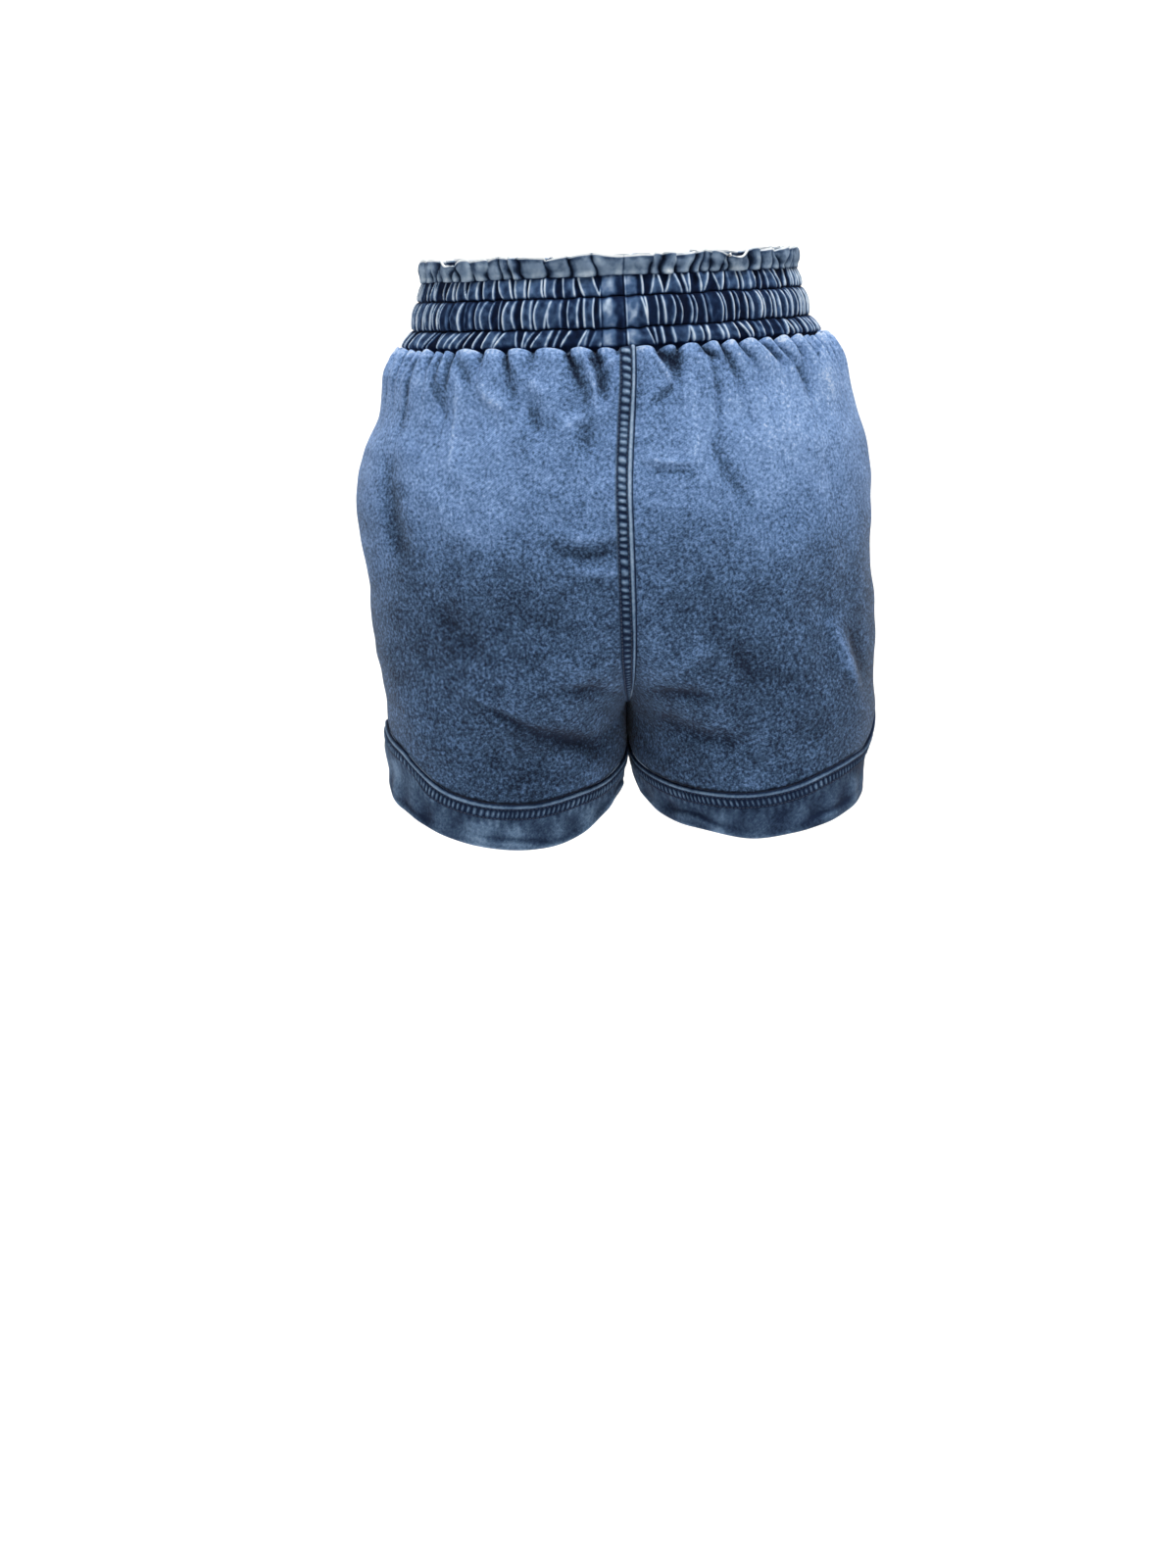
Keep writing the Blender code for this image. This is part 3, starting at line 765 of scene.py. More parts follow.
def panel_relief(points, seam, waist_seam, share, fork, folds, gathers, side):
    """Rise, roll and colour of a panel, with painted light: gathers, folds, soft hills, and its sewn
    edges.
    """
    x, z = points[..., 0] * side, points[..., 2]
    down = np.maximum(waist_seam - z, 0)
    arc = WAIST_ARC * (1 - share) * side
    skew = 1.3 if side > 0 else 0.8
    gathered = gather_field(arc[:, ::-side], down[:, ::-side], gathers, skew)
    rise, lift, fade = (field[:, ::-side] for field in gathered)
    fold_rise, fold_fade = fold_field(x, z, folds)
    hills = 0.0012 * cloud(x, z, 0.075) + 0.0005 * cloud(x, z, 0.026)
    inward = np.clip((z - seam) / 0.016, 0, 1)
    rise = (rise + 1.5 * fold_rise + hills * step(0, 0.03, down)) * inward
    ends = np.minimum(share, 1 - share) * PANEL_ARC
    rise *= step(0, 0.009, ends) * (1 - 0.9 * fork * step(0.80, 0.95, share))
    rise -= 0.0008 * bump(ends, 0, 0.0016) * (share < 0.5) + 0.0008 * bump(z - seam, 0, 0.0018)
    # painted light from the gathers, folds and wash, with their painted shade, on top of wear
    fade = 1.3 * fade + wash_and_painted_light(x, z) + 1.4 * fold_fade
    fade -= 0.55 * bump(ends, 0, 0.0011) * (share < 0.5) + 0.75 * bump(z - seam, 0, 0.0011)
    fade += 0.22 * bump(ends, 0.0026, 0.0014) * (share < 0.5)
    return rise, lift, fade


def centre_wander(points, back):
    """How far right the centre back seam lies from the middle: most at the waist."""
    if not back:
        return points
    down = WAIST_SEAM - points[..., 2]
    drift = SEAM_TURN * (1 - step(0, 0.13, down)) * bump(points[..., 0], 0, 0.075)
    moved = points.copy()
    moved[..., 0] += drift
    return moved


def tucked_under(points, normals, fade, depth):
    """Adds two rows past a grid's last row that pass behind the piece it is sewn to, coloured dark as
    painted shade.
    """
    outward = points[-1] - points[-2]
    outward /= np.linalg.norm(outward, axis=-1, keepdims=True) + 1e-9
    first = points[-1] + outward * 0.0015 - normals[-1] * depth
    second = points[-1] + outward * 0.0060 - normals[-1] * (depth + 0.0004)
    # painted shade: the tucked rows are dark where they pass into the gap under the next piece
    dark = np.full_like(fade[-1:], -0.8)
    normals = np.concatenate([normals, normals[-1:], normals[-1:]])
    points = np.concatenate([points, first[None], second[None]])
    return points, normals, np.concatenate([fade, dark, dark])


def tuck_sides(points, normals, fade, at_side, at_centre, depth):
    """The same at the ends of a grid's rows: its side seam's, and its centre's."""
    grid = [np.swapaxes(field, 0, 1) for field in (points, normals, fade)]
    if at_centre:
        grid = tucked_under(*grid, depth)
    if at_side:
        grid = [field[::-1] for field in tucked_under(*[field[::-1] for field in grid], depth)]
    return [np.swapaxes(field, 0, 1) for field in grid]


def make_panel(name, back, side, edges, folds, gathers, columns, rows):
    """A body panel's shell, on its node's form. Gives its points for the centre seam."""
    at_side, at_centre = panel_rows(*rows, edges[-1][1])
    share, inner = np.meshgrid(seam_shares(columns), at_side)
    inner = inner + (at_centre - at_side)[:, None] * share**3
    fork = fork_at(inner)
    share = even_shares(share, fork)
    points, seam, waist_seam = panel_form(share, inner, fork, edges, back)
    points = side_shift(points, share, side)
    normals = grid_normals(points)
    rise, lift, fade = panel_relief(points, seam, waist_seam, share, fork, folds, gathers, side)
    points = points + normals * rise[..., None]
    points[..., 2] += lift
    cloth, normals, fade = tucked_under(points, normals, fade, PANEL_TUCK)
    ledge = points[:1] - normals[:1] * WAIST_LEDGE - (0, 0, 0.0010)
    cloth = np.concatenate([ledge, cloth])
    normals = np.concatenate([normals[:1], normals])
    # painted shade on the ledge under the waistband
    fade = np.concatenate([np.full_like(fade[:1], -0.8), fade])
    meets_centre = back == (side > 0)
    cloth, _, fade = tuck_sides(cloth, normals, fade, back, meets_centre, PANEL_TUCK)
    points = centre_wander(points * (side, 1, 1), back)
    cloth = centre_wander(cloth * (side, 1, 1), back)
    around = np.linspace(0, PANEL_ARC * side, cloth.shape[1])[None, :].repeat(len(cloth), axis=0)
    weave = np.stack([around, cloth[..., 2]], axis=-1)
    piece = cloth_shell(name, cloth, fade, weave, PANEL_WALL, BODY)
    piece.name = name + "_cloth"
    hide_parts(name)
    return points, len(at_side) - rows[2]


# ---- centre seams --------------------------------------------------------------------
def make_centre_seam(name, left, right, columns=26, rows=250):
    """The felled strip down a centre seam, made from the two panels' points, moved out.

    Each row is read along the line that both panels' edges make across the seam, and the
    rows are then spaced evenly down the seam. It stops short of the crotch.
    """
    width = FELL_RIDGE + FELL_STRIP + 0.0026
    across = np.linspace(-0.0010, width, columns)
    reach = 24
    lines = np.concatenate([right[:, -reach:], left[:, ::-1][:, :reach]], axis=1)
    steps = np.linalg.norm(np.diff(lines, axis=1), axis=-1)
    place = np.concatenate([np.zeros((len(lines), 1)), np.cumsum(steps, axis=1)], axis=1)
    place -= (place[:, reach - 1 : reach] + place[:, reach : reach + 1]) / 2
    strip = np.zeros((len(lines), columns, 3))
    for row in range(len(lines)):
        for axis in range(3):
            strip[row, :, axis] = np.interp(across - 0.0008, place[row], lines[row, :, axis])
    gone = np.r_[0, np.cumsum(np.linalg.norm(np.diff(strip[:, 3], axis=0), axis=-1))]
    along = np.concatenate([np.linspace(0, 0.010, 14)[:-1], np.linspace(0.010, gone[-1], rows)])
    even = np.zeros((len(along), columns, 3))
    for column in range(columns):
        for axis in range(3):
            even[:, column, axis] = np.interp(along, gone, strip[:, column, axis])
    normals = grid_normals(even)
    middle = len(along) // 3
    if normals[middle, columns // 2] @ (even[middle, columns // 2] * (0, 1, 0)) < 0:
        normals = -normals
    away = np.repeat(across[None, :], len(along), axis=0)
    run = np.repeat(along[:, None], columns, axis=1)
    rise, fade = seam_relief(away, run, CENTRE_ROPING)
    edge = step(-0.0010, -0.0002, away) * (1 - step(width - 0.0012, width, away))
    rise = rise * edge + 0.0010 * edge - 0.0007 * (1 - edge)
    even = even + normals * rise[..., None]
    fade = fade + wash_and_painted_light(even[..., 0], even[..., 2]) - 0.04
    weave = np.stack([away, run], axis=-1)
    piece = cloth_shell(name, even, fade, weave, SEAM_WALL, HEM)
    return even, away


# ---- hem bands -----------------------------------------------------------------------
def make_hem(name, back, side, edges, columns, wave_seed):
    """A curved hem band: felled seam along its top, soft waves, and a folded edge.

    Its rows lie at real distances below the seam, close together across the felled seam.
    """
    upper = np.linspace(0, 1, 27)
    lower = np.linspace(0, 1, 18)[1:]
    share_row = seam_shares(columns)
    seam = smooth_table(edges, EDGE_COLUMNS, "seam", share_row) - SEAM_GAP / 2
    hem = smooth_table(edges, EDGE_COLUMNS, "hem", share_row)
    lean = np.sqrt(1 + np.gradient(seam, share_row * LEG_ARC) ** 2)
    felled = np.minimum(HEM_FELL * lean, (seam - hem) * 0.60)
    below = felled + lower[:, None] * (seam - hem - felled)
    down = np.concatenate([upper[:, None] * felled, below])
    share = np.repeat(share_row[None, :], len(down), axis=0)
    points = quarter_point(share, seam[None, :] - down, np.ones_like(share), back)
    points = side_shift(points, share, side)
    normals = grid_normals(points)
    along = np.r_[0, np.cumsum(np.linalg.norm(np.diff(points[0], axis=0), axis=-1))]
    run = np.repeat(along[None, :], len(down), axis=0)
    across = down / felled * HEM_FELL
    rise, fade = seam_relief(across, run + wave_seed * 0.01, HEM_ROPING)
    left = (seam - hem)[None, :] - down
    swell = step(HEM_FELL, 0.0200, across)
    waves = np.sin(run / 0.0085 + wave_seed) * np.sin(run / 0.0146 + 2 * wave_seed)
    line = 0.0080 + 0.0026 * np.sin(run / 0.025 + wave_seed) + 0.0012 * np.sin(run / 0.0093)
    crease = 0.55 + 0.45 * np.sin(run / 0.0190 + 2.0 * wave_seed)
    rise += 0.0020 * swell * waves * bump(left, 0.012, 0.010)
    lip = bump(left, line - 0.0034, 0.0034) - bump(left, line, 0.0020)
    rise += 0.0011 * swell * crease * lip
    rise -= 0.0009 * bump(left, 0, 0.0012)
    ends = np.minimum(share, 1 - share) * LEG_ARC
    rise *= 1 - 0.8 * step(0.90, 0.98, share)
    rise += 0.0004 - 0.0008 * bump(ends, 0, 0.0016) * (share < 0.5) - 0.0004 * step(0.9, 1, share)
    puckers = np.sin(run / 0.0013 + 3 * np.sin(run / 0.013)) * bump(across, 0.0150, 0.004)
    # painted light: the waves paler where they stand out and darker between
    fade += 0.16 * puckers + 0.30 * swell * waves
    # the fold-under lip: a pale ridge, partly abraded and partly painted highlight, over painted
    # shade in its crease
    lip_wear_and_shade = 0.26 * bump(left, line - 0.0038, 0.0022) - 0.42 * bump(left, line, 0.0022)
    fade += swell * crease * lip_wear_and_shade
    fade += 0.34 * bump(left, 0.0006, 0.0010) - 0.45 * bump(ends, 0, 0.0011)
    x, z = points[..., 0] * side, points[..., 2]
    fade += -0.48 - 0.18 * (side > 0) + 0.10 * cloud(x, z, 0.05) + 0.09 * cloud(x, z, 0.018)
    points = points + normals * rise[..., None]
    meets_centre = back == (side > 0)
    cloth, _, fade = tuck_sides(points, normals, fade, back, meets_centre, HEM_TUCK)
    points, cloth = points * (side, 1, 1), cloth * (side, 1, 1)
    around = np.linspace(0, along[-1] * side, cloth.shape[1])[None, :].repeat(len(cloth), axis=0)
    weave = np.stack([around, cloth[..., 2]], axis=-1)
    piece = cloth_shell(name, cloth, fade, weave, HEM_WALL, HEM)
    piece.name = name + "_cloth"
    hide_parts(name)
    return points, across


# ---- waistband -----------------------------------------------------------------------
def waist_ring(columns):
    """Angles round the waist at even spacing, from the band's join to itself, and its length."""
    turn = np.linspace(-math.pi / 2, 1.5 * math.pi, 4001)
    x = 0.158 * fuller(np.cos(turn))
    y = np.where(np.sin(turn) < 0, 0.128, 0.116) * fuller(np.sin(turn))
    gone = np.r_[0, np.cumsum(np.hypot(np.diff(x), np.diff(y)))]
    length = gone[-1]
    u = BAND_JOIN + np.linspace(0, length, columns + 1)
    return np.interp(u % length, gone, turn), u, length


def waist_points(turn, height, out):
    """Points round the waist at a height, moved outwards by `out`."""
    half_width, back_depth, front_depth = (
        smooth_table(WAIST_GIRTHS, GIRTH_COLUMNS, name, height) for name in GIRTH_COLUMNS[1:]
    )
    depth = np.where(np.sin(turn) < 0, back_depth, front_depth)
    x, y = half_width * fuller(np.cos(turn)), depth * fuller(np.sin(turn))
    nx, ny = np.cos(turn) / half_width, np.sin(turn) / depth
    size = np.hypot(nx, ny)
    share = np.arcsin(np.clip(-np.sin(turn), 0, 1)) * 2 / math.pi
    near = np.clip((HEADER_STITCH - height) / (HEADER_STITCH - WAIST_SEAM), 0, 1)
    z = height - WAIST_SEAM_DIP * share**2 * near
    return np.stack([x + nx / size * out, y + ny / size * out, z], axis=-1)


def signed_arc(u, length):
    """Distance round from the centre back, to the right positive, to the left negative."""
    return (u + length / 2) % length - length / 2


def pleat_field(u, t, length, casing):
    """Height and tone of a casing's pleats between its two stitch lines.

    Each crest runs from a place on the upper stitch line to one on the lower, with a
    sideways bow that points away from the centre back. Crests that would cross are held
    together, which makes a Y or a V. A crest is the narrow abraded edge of a flattened pleat, pale
    from that wear and also as painted highlight. The cells between crests are mostly by turns a
    pleat's mid blue top and the navy valley beside it, the valley's navy partly unfaded indigo and
    partly painted shade.
    """
    count = casing["pleats"]
    pitch = length / count
    top = BAND_JOIN + (np.arange(count) + rng.uniform(-0.27, 0.27, count)) * pitch
    top += np.where(np.arange(count) % 2 == 0, 0.10, -0.10) * pitch
    arc = signed_arc(top, length)
    lean = np.where(arc < 0, casing["lean_left"], casing["lean_right"])
    foot = top + lean * rng.uniform(0.4, 1.3, count)
    foot += rng.uniform(-0.24, 0.24, count) * pitch
    pair = rng.uniform(0, 1, count) < casing["merge"]
    at_top = rng.uniform(0, 1, count) < 0.5
    top = np.where(pair & at_top, top + 0.75 * pitch, top)
    foot = np.where(pair & ~at_top, foot + 0.75 * pitch, foot)
    bow = casing["bow"] * np.clip(arc / 0.05, -1, 1) * rng.uniform(0.15, 1.3, count)
    strength = rng.uniform(0.62, 0.95, count) * np.where(rng.uniform(0, 1, count) < 0.10, 0.45, 1)
    width = casing["width"] * rng.uniform(0.75, 1.45, count)
    deep = (np.arange(count + 1) % 2 == 1) ^ (rng.uniform(0, 1, count + 1) < 0.16)
    tones = np.where(deep, -0.86, -0.20 - 0.36 * casing["shade"])
    tones = tones + 0.24 * rng.uniform(-0.3, 1, (2, count + 1))
    walls = top[None, :] + (foot - top)[None, :] * t[:, None]
    walls += bow[None, :] * np.sin(math.pi * t)[:, None]
    walls = np.maximum.accumulate(walls, axis=1)
    share, number, left, right = cell_places(u, walls, pitch)
    near = np.clip(np.where(left < right, number - 1, number), 0, count - 1)
    away = np.minimum(left, right) / width[near]
    away = np.where(left < right, away * 1.15, away * 0.9)
    crest = strength[near] * np.exp(-np.abs(away) ** 1.8)
    soft = share * share * (3 - 2 * share)
    floor = tones[0][number] * (1 - soft) + tones[1][number] * soft
    # painted shade: each cell darker in its middle
    floor = floor - 0.12 * np.sin(math.pi * share) ** 2
    low = np.where(deep[number], 0.0, 0.62)
    tone = floor + (0.95 - floor) * crest
    height = low + (1 - low) * crest
    return height, tone


def flat_centre(arc):
    """Colour of the plain centre back of the band: patches, painted shade in its left crease, and its
    join.
    """
    tone = 0.30 * bump(arc, -0.0100, 0.0036) - 0.55 * bump(arc, -0.0015, 0.0034)
    tone = tone + 0.10 * bump(arc, 0.0075, 0.0022) - 0.16
    tone = tone + 0.55 * bump(arc, BAND_JOIN + 0.0013, 0.0006) - 0.75 * bump(arc, BAND_JOIN, 0.0007)
    # painted shade in the crease at the flat stretch's left end
    return tone - 0.95 * bump(arc, FLAT_BACK[0] - 0.0012, 0.0008)


def make_casings():
    """The gathered waistband below its header: three casings between stitch lines.

    Each casing bulges as a rounded channel, sin(pi t) to a small power, and carries its
    own pleats, which close to nothing on the stitch lines. The stitch lines waver.
    """
    turn, u, length = waist_ring(WAIST_COLUMNS)
    arc = signed_arc(u, length)
    flat = step(FLAT_BACK[0] - 0.003, FLAT_BACK[0] + 0.001, arc)
    flat = (flat * (1 - step(FLAT_BACK[1] - 0.002, FLAT_BACK[1] + 0.003, arc)))[None, :]
    wavers = [0.0007 * ring_noise(u, length, 0.0065) for _ in range(4)]
    wavers[3] = np.zeros_like(u)
    for number, (row, count) in enumerate(zip(CASINGS, CASING_ROWS)):
        casing = dict(zip(CASING_COLUMNS, row))
        depth = casing["top"] - casing["bottom"]
        t = 0.5 - 0.5 * np.cos(np.linspace(0, math.pi, count))
        t = 0.6 * t + 0.4 * np.linspace(0, 1, count)
        height = casing["top"] - depth * t[:, None] + np.zeros_like(u)[None, :]
        height += wavers[number] * (1 - t[:, None]) + wavers[number + 1] * t[:, None]
        pleats, tone = pleat_field(u, t, length, casing)
        arch = np.sin(math.pi * t)[:, None] ** 0.5
        edge = np.minimum(t, 1 - t)[:, None] * depth
        stitched = np.exp(-((edge / 0.0009) ** 2))
        wobble = ring_noise(u, length, 0.011)[None, :]
        plain = np.full_like(pleats, 0.35)
        pleats = pleats * (1 - flat) + plain * flat
        out = casing["bulge"] * arch * (1 + 0.15 * wobble)
        out = out + casing["crest"] * arch * (pleats - 0.45) - 0.0009 * stitched
        out = out - 0.0010 * bump(arc, FLAT_BACK[0] - 0.0012, 0.0010)
        around = np.broadcast_to(arc, height.shape)
        patchy = flat_centre(arc)[None, :] + 0.16 * cloud(around, height, 0.012)
        fade = tone * (1 - flat) + patchy * flat
        # the stitch lines dark; beside them, darker as painted shade where the channel dips to them
        fade = fade + (-1.0 - fade) * stitched * 0.72 - 0.16 * np.exp(-edge / 0.0022)
        fade = fade + 0.12 * cloud(around, height, 0.006)
        points = waist_points(np.repeat(turn[None, :], count, axis=0), height, out)
        name = CASING_NAMES[number]
        if name == "waist_casing_lower":
            for _ in range(2):
                points = np.concatenate([points, points[-1:] - (0, 0, CASING_TAIL)])
                height = np.concatenate([height, height[-1:] - CASING_TAIL])
                fade = np.concatenate([fade, fade[-1:]])
        weave = np.stack([np.repeat(u[None, :] * 1.5, len(points), axis=0), height], axis=-1)
        piece = cloth_shell(name, points, fade, weave, CASING_WALL, GATHERED)
        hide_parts("waistband")


def make_header():
    """The free ruffled header above the casings.

    Creases at uneven spacing rise from the stitch line, lean over and die out towards the folded top
    edge. Between two of them the cloth hangs as a rounded puff at its foot and tilts higher up, so
    that each puff laps its neighbour. Its colour is mostly painted light: each puff lighter or darker
    by its tilt, paler where it bulges, with painted shade in and beside the creases and under the
    puffs at the stitch line, and a pale abraded top edge.
    """
    turn, u, length = waist_ring(HEADER_COLUMNS)
    arc = signed_arc(u, length)
    v = np.concatenate([[0.0, 0.02], np.linspace(0.06, 0.89, 13), [0.92, 0.95, 0.98, 1.0]])
    base = BAND_JOIN + np.cumsum(0.0060 + 0.0165 * rng.uniform(0, 1, 130) ** 1.4)
    base = base[base < length - 0.008]
    base = base[(signed_arc(base, length) < -0.016) | (signed_arc(base, length) > 0.021)]
    count = len(base)
    on_left = signed_arc(base, length) < 0
    lean_left = rng.uniform(-0.0075, 0.001, count)
    lean = np.where(on_left, lean_left, rng.uniform(-0.004, 0.0075, count))
    bow = rng.uniform(-0.0026, 0.0026, count)
    reach = rng.uniform(0.38, 1.15, count)
    tilt = rng.uniform(0.45, 1.0, count + 1) * np.where(rng.uniform(0, 1, count + 1) < 0.5, 1, -1)
    plump = rng.uniform(0.6, 1.2, count + 1)
    high = v[:, None]
    walls = base + lean * high + bow * np.sin(2 * math.pi * high)
    share, number, left, right = cell_places(u, np.maximum.accumulate(walls, axis=1), CELL_REACH)
    near = np.clip(np.where(left < right, number - 1, number), 0, count - 1)
    away = np.minimum(left, right)
    plain = (step(-0.017, -0.009, arc) * (1 - step(0.013, 0.022, arc)))[None, :]
    puff = np.clip(4 * share * (1 - share), 0, 1) ** 0.5 * plump[number]
    puff = puff * np.clip((left + right) / 0.010, 0.4, 1.0) * (1 - plain) + 0.45 * plain
    slope = tilt[number] * (share - 0.5) * (1 - plain)
    gone = (1 - step(reach[near] - 0.25, reach[near] + 0.05, high)) * (1 - plain)
    wide = ring_noise(u, length, 0.030)[None, :]
    lift = ring_noise(u, length, 0.019)[None, :]
    flop = bump(arc, 0.102, 0.010) + 0.8 * bump(arc, -0.150, 0.009)
    flop = flop[None, :] + 0.6 * np.clip(ring_noise(u, length, 0.055) - 0.45, 0, 1)[None, :]
    foot = np.sqrt(np.clip(high / 0.06, 0, 1))
    out = 0.0044 * foot * puff * (1 - 0.50 * high) + 0.0058 * slope * high**0.8 * (0.4 + 0.6 * gone)
    out = out + 0.0026 * wide * high + 0.0036 * flop * high**2 - 0.0016 * (1 - foot)
    out = out - 0.0022 * gone * np.exp(-((away / 0.0013) ** 1.3)) * foot
    height = HEADER_STITCH - 0.0010 * (1 - foot) + high * (WAIST_TOP - HEADER_STITCH - 0.0008)
    height = height - 0.0022 * puff * foot * (1 - high) ** 2.2 + 0.0017 * high * lift
    height = height + high**2 * (0.0026 * slope + 0.0010 * puff - 0.0066 * flop)
    side = 0.0012 * high * ring_noise(u, length, 0.012)[None, :]
    points = waist_points(turn[None, :] + side / 0.150, height, out)
    grain = cloud(np.broadcast_to(arc, height.shape), height, 0.009)
    # painted shade beside each crease on the side that tilts down
    dim = np.exp(-away / 0.0036) * (slope < 0)
    # painted light: each puff lighter on its side that tilts up and darker on the side that tilts
    # down; paler where it bulges low, partly abraded and partly painted highlight
    fade = -0.12 + 0.80 * slope * high**0.5 + 0.24 * (puff - 0.7) * (1 - high) + 0.16 * grain
    fade = fade + 0.50 * bump(high, 0.15, 0.11) * puff - 0.62 * dim * (0.35 + 0.65 * gone)
    # painted shade in the creases, and under the puffs at the stitch line; then a darker band below
    # the top edge
    fade = fade - 1.15 * gone * np.exp(-((away / 0.0011) ** 1.2))
    fade = fade - 1.0 * np.exp(-((high / 0.035) ** 2)) - 0.26 * bump(high, 0.82, 0.07)
    fade = fade + 1.30 * step(0.895, 0.925, high) - 0.6 * bump(arc, BAND_JOIN, 0.0008)[None, :]
    weave = np.stack([np.repeat(u[None, :] * 1.3, len(v), axis=0), height], axis=-1)
    piece = cloth_shell("waist_header", points, fade, weave, HEADER_WALL, HEADER, HEADER)
    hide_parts("waistband")


# ---- stitches ------------------------------------------------------------------------
def stitches_along(path, outward):
    """Points and faces of stitches along a path: a closed spindle of six sides each."""
    steps = np.r_[0, np.cumsum(np.linalg.norm(np.diff(path, axis=0), axis=-1))]
    count = int(steps[-1] / STITCH)
    middles = (np.arange(count) + 0.5) * STITCH
    at = np.stack([np.interp(middles, steps, path[:, k]) for k in range(3)], axis=-1)
    up = np.stack([np.interp(middles, steps, outward[:, k]) for k in range(3)], axis=-1)
    ahead = np.stack(
        [np.interp(middles + STITCH / 4, steps, path[:, k]) for k in range(3)], axis=-1
    ) - at
    ahead /= np.linalg.norm(ahead, axis=-1, keepdims=True) + 1e-9
    aside = np.cross(ahead, up)
    aside /= np.linalg.norm(aside, axis=-1, keepdims=True) + 1e-9
    up = np.cross(aside, ahead)
    rings = ((-0.40, 0.0, 0.0), (-0.22, 1.0, 0.5), (0.22, 1.0, 0.5), (0.40, 0.0, 0.0))
    turn = np.linspace(0, 2 * math.pi, 6, endpoint=False)
    points = []
    for run, radius, lift in rings:
        spokes = turn if radius else turn[:1]
        for angle in spokes:
            around = math.cos(angle) * aside + math.sin(angle) * up
            points.append(at + ahead * run * STITCH + up * lift * THREAD + around * radius * THREAD)
    points = np.stack(points, axis=1)
    faces = []
    for k in range(6):
        n = (k + 1) % 6
        faces += [(0, 1 + n, 1 + k), (1 + k, 1 + n, 7 + n), (1 + k, 7 + n, 7 + k), (13, 7 + k, 7 + n)]
    faces = np.array(faces)[None] + (np.arange(count) * 14)[:, None, None]
    return points.reshape(-1, 3), faces.reshape(-1, 3)


def make_stitches(name, runs):
    """One piece of thread from several stitch lines, each a path and its outward side."""
    points, faces, total = [], [], 0
    for path, outward in runs:
        p, f = stitches_along(path, outward)
        points.append(p)
        faces.append(f + total)
        total += len(p)
    piece = mesh_from(name, np.concatenate(points), np.concatenate(faces))
    piece.data.materials.append(THREAD_FINISH)
    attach(piece, "root")


def grid_line(points, across, place):
    """The line of a grid at a distance across its rows, and the way out from it."""
    row = int(np.argmin(np.abs(across[:, across.shape[1] // 2] - place)))
    normals = grid_normals(points)
    middle = points[row, points.shape[1] // 2] - points[row].mean(axis=0)
    outward = normals[row]
    if np.dot(outward[points.shape[1] // 2], middle) < 0:
        outward = -outward
    return points[row] + outward * THREAD * 0.4, outward


def column_line(points, away, place):
    """The line of a grid down the column at a distance across it, and the way out."""
    column = int(np.argmin(np.abs(away[0] - place)))
    normals = grid_normals(points)
    middle = len(points) // 3
    outward = normals[:, column]
    if outward[middle][1] * points[middle, column][1] < 0:
        outward = -outward
    return points[:, column] + outward * THREAD * 0.4, outward


# ---- stage ---------------------------------------------------------------------------
def make_stage():
    """A pale paper dish: a floor at the feet's level that curves up into a wall all round."""
    floor, reach, bend, top = -1.04, 3.0, 1.0, 2.0
    angle = np.linspace(0, math.pi / 2, 20)
    radius = np.concatenate([[0.0002, 1.5], reach + bend * np.sin(angle), [reach + bend]])
    height = np.concatenate([[floor, floor], floor + bend * (1 - np.cos(angle)), [top]])
    around = np.linspace(0, 2 * math.pi, 73)[:-1]
    x, y = radius[:, None] * np.cos(around), radius[:, None] * np.sin(around)
    points = np.stack([x, y, np.broadcast_to(height[:, None], x.shape)], axis=-1)
    index = np.arange(x.size).reshape(x.shape)
    ahead = np.roll(index, -1, axis=1)
    faces = np.stack([index[:-1], index[1:], ahead[1:], ahead[:-1]], axis=-1).reshape(-1, 4)
    sweep = mesh_from("paper_sweep", points.reshape(-1, 3), faces)
    paper = bpy.data.materials.new("matt_white_paper")
    paper.use_nodes = True
    shader = paper.node_tree.nodes["Principled BSDF"]
    shader.inputs["Base Color"].default_value = linear(PAPER)
    shader.inputs["Roughness"].default_value = 0.95
    sweep.data.materials.append(paper)


def area_light(name, place, target, size, power, colour=(1, 1, 1)):
    """A soft square light aimed at a point."""
    lamp = bpy.data.lights.new(name, "AREA")
    lamp.shape, lamp.size, lamp.energy, lamp.color = "SQUARE", size, power, colour
    light = bpy.data.objects.new(name, lamp)
    light.location = place
    aim = Vector(target) - Vector(place)
    light.rotation_euler = aim.to_track_quat("-Z", "Y").to_euler()
    bpy.context.scene.collection.objects.link(light)


def make_light():
    """Overhead key behind the camera, weak fills, and a wash on the backdrop."""
    area_light("key", (0.45, -1.05, 2.45), (0, 0, -0.05), 0.9, 76)
    area_light("fill", (0.7, -3.0, 0.6), (0, 0, -0.2), 2.0, 2)
    area_light("side", (-2.3, -0.5, 0.9), (0, 0, -0.1), 1.0, 10)
    area_light("backdrop_wash", (0, 1.6, 2.4), (0, 3.4, -0.2), 2.6, 120)
    area_light("floor_wash", (0, 0.0, -0.62), (0, 0.0, -1.04), 1.5, 4)
    world = bpy.data.worlds.new("studio")
    world.use_nodes = True
    background = world.node_tree.nodes["Background"]
    background.inputs["Color"].default_value = (1.0, 1.0, 1.0, 1)
    background.inputs["Strength"].default_value = 0.09
    bpy.context.scene.world = world
    bpy.context.scene.view_settings.view_transform = "Standard"


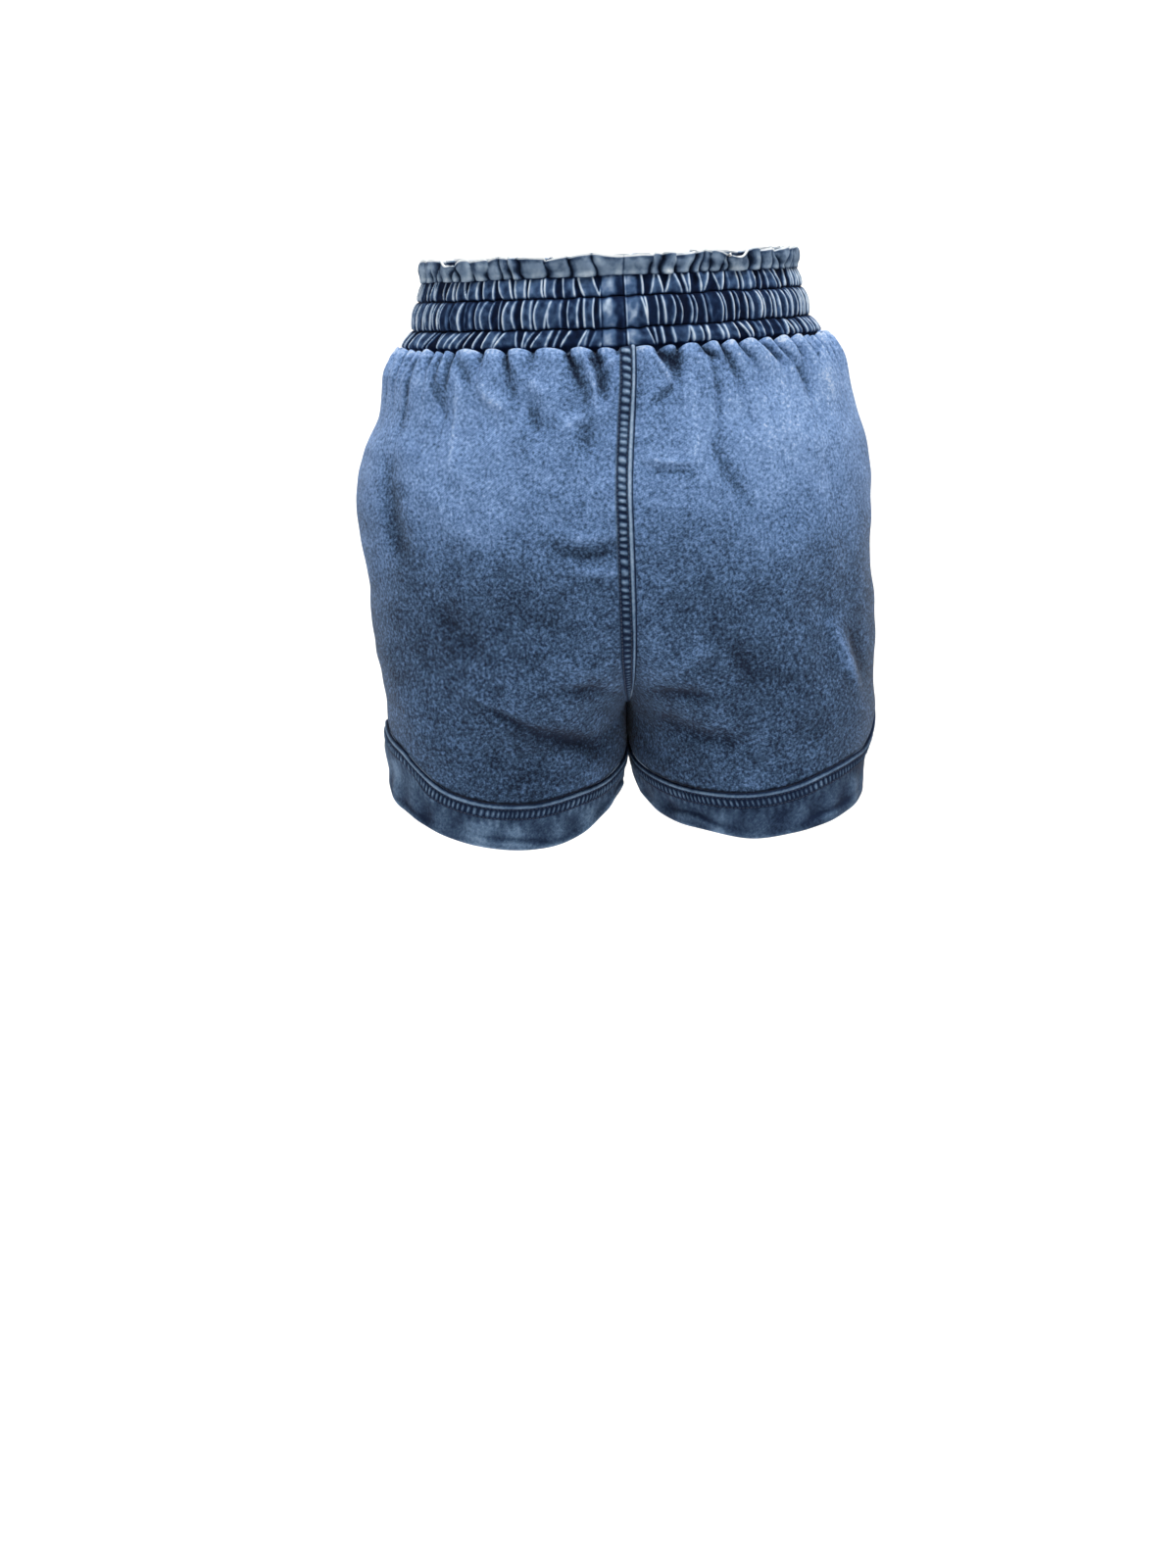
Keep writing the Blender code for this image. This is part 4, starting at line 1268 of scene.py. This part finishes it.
def make_camera():
    """Behind the wearer, level with the waist, tipped down 9.3 degrees, slightly rolled."""
    turned, tip, roll = math.radians(-3.0), math.radians(9.3), math.radians(2.4)
    ahead = Vector((0, math.cos(tip), -math.sin(tip)))
    right = Vector((1, 0, 0))
    up = right.cross(ahead)
    tilted = right * math.cos(roll) - up * math.sin(roll)
    right, up = tilted, up * math.cos(roll) + right * math.sin(roll)
    place = Vector((-0.034, -2.60, 0.037))
    about = Matrix.Rotation(turned, 4, "Z")
    pose = Matrix((
        (right.x, up.x, -ahead.x, place.x),
        (right.y, up.y, -ahead.y, place.y),
        (right.z, up.z, -ahead.z, place.z),
        (0, 0, 0, 1),
    ))
    data = bpy.data.cameras.new("camera")
    data.lens, data.sensor_width = 72.9, 36.0
    camera = bpy.data.objects.new("camera", data)
    camera.matrix_world = about @ pose
    bpy.context.scene.collection.objects.link(camera)
    bpy.context.scene.camera = camera


# ---- making --------------------------------------------------------------------------
make_camera()
make_stage()
make_light()
make_casings()
make_header()
panels, seams, threads = {}, [], []
for back, hand, side, edges in (
    (True, "right", 1, RIGHT_BACK_EDGES), (True, "left", -1, LEFT_BACK_EDGES),
    (False, "right", 1, FRONT_EDGES), (False, "left", -1, FRONT_EDGES),
):
    half = "back" if back else "front"
    folds, gathers = (BACK_FOLDS, BACK_GATHERS) if back else (FRONT_FOLDS, FRONT_GATHERS)
    columns, rows = (150, (136, 52, 24)) if back else (100, (84, 34, 16))
    hem_columns = 264 if back else 160
    name = f"{half}_panel_{hand}"
    points, at_crotch = make_panel(name, back, side, edges, folds, gathers, columns, rows)
    panels[half, hand] = points[: at_crotch - 3]
    name = f"hem_band_{half}_{hand}"
    band, across = make_hem(name, back, side, edges, hem_columns, side + 3 * back)
    threads += [grid_line(band, across, place) for place in STITCH_LINES]
for half in ("back", "front"):
    left, right = panels[half, "left"], panels[half, "right"]
    strip, away = make_centre_seam(f"centre_{half}_seam", left, right)
    threads += [column_line(strip, away, place) for place in STITCH_LINES]
make_stitches("seam_stitches", threads)
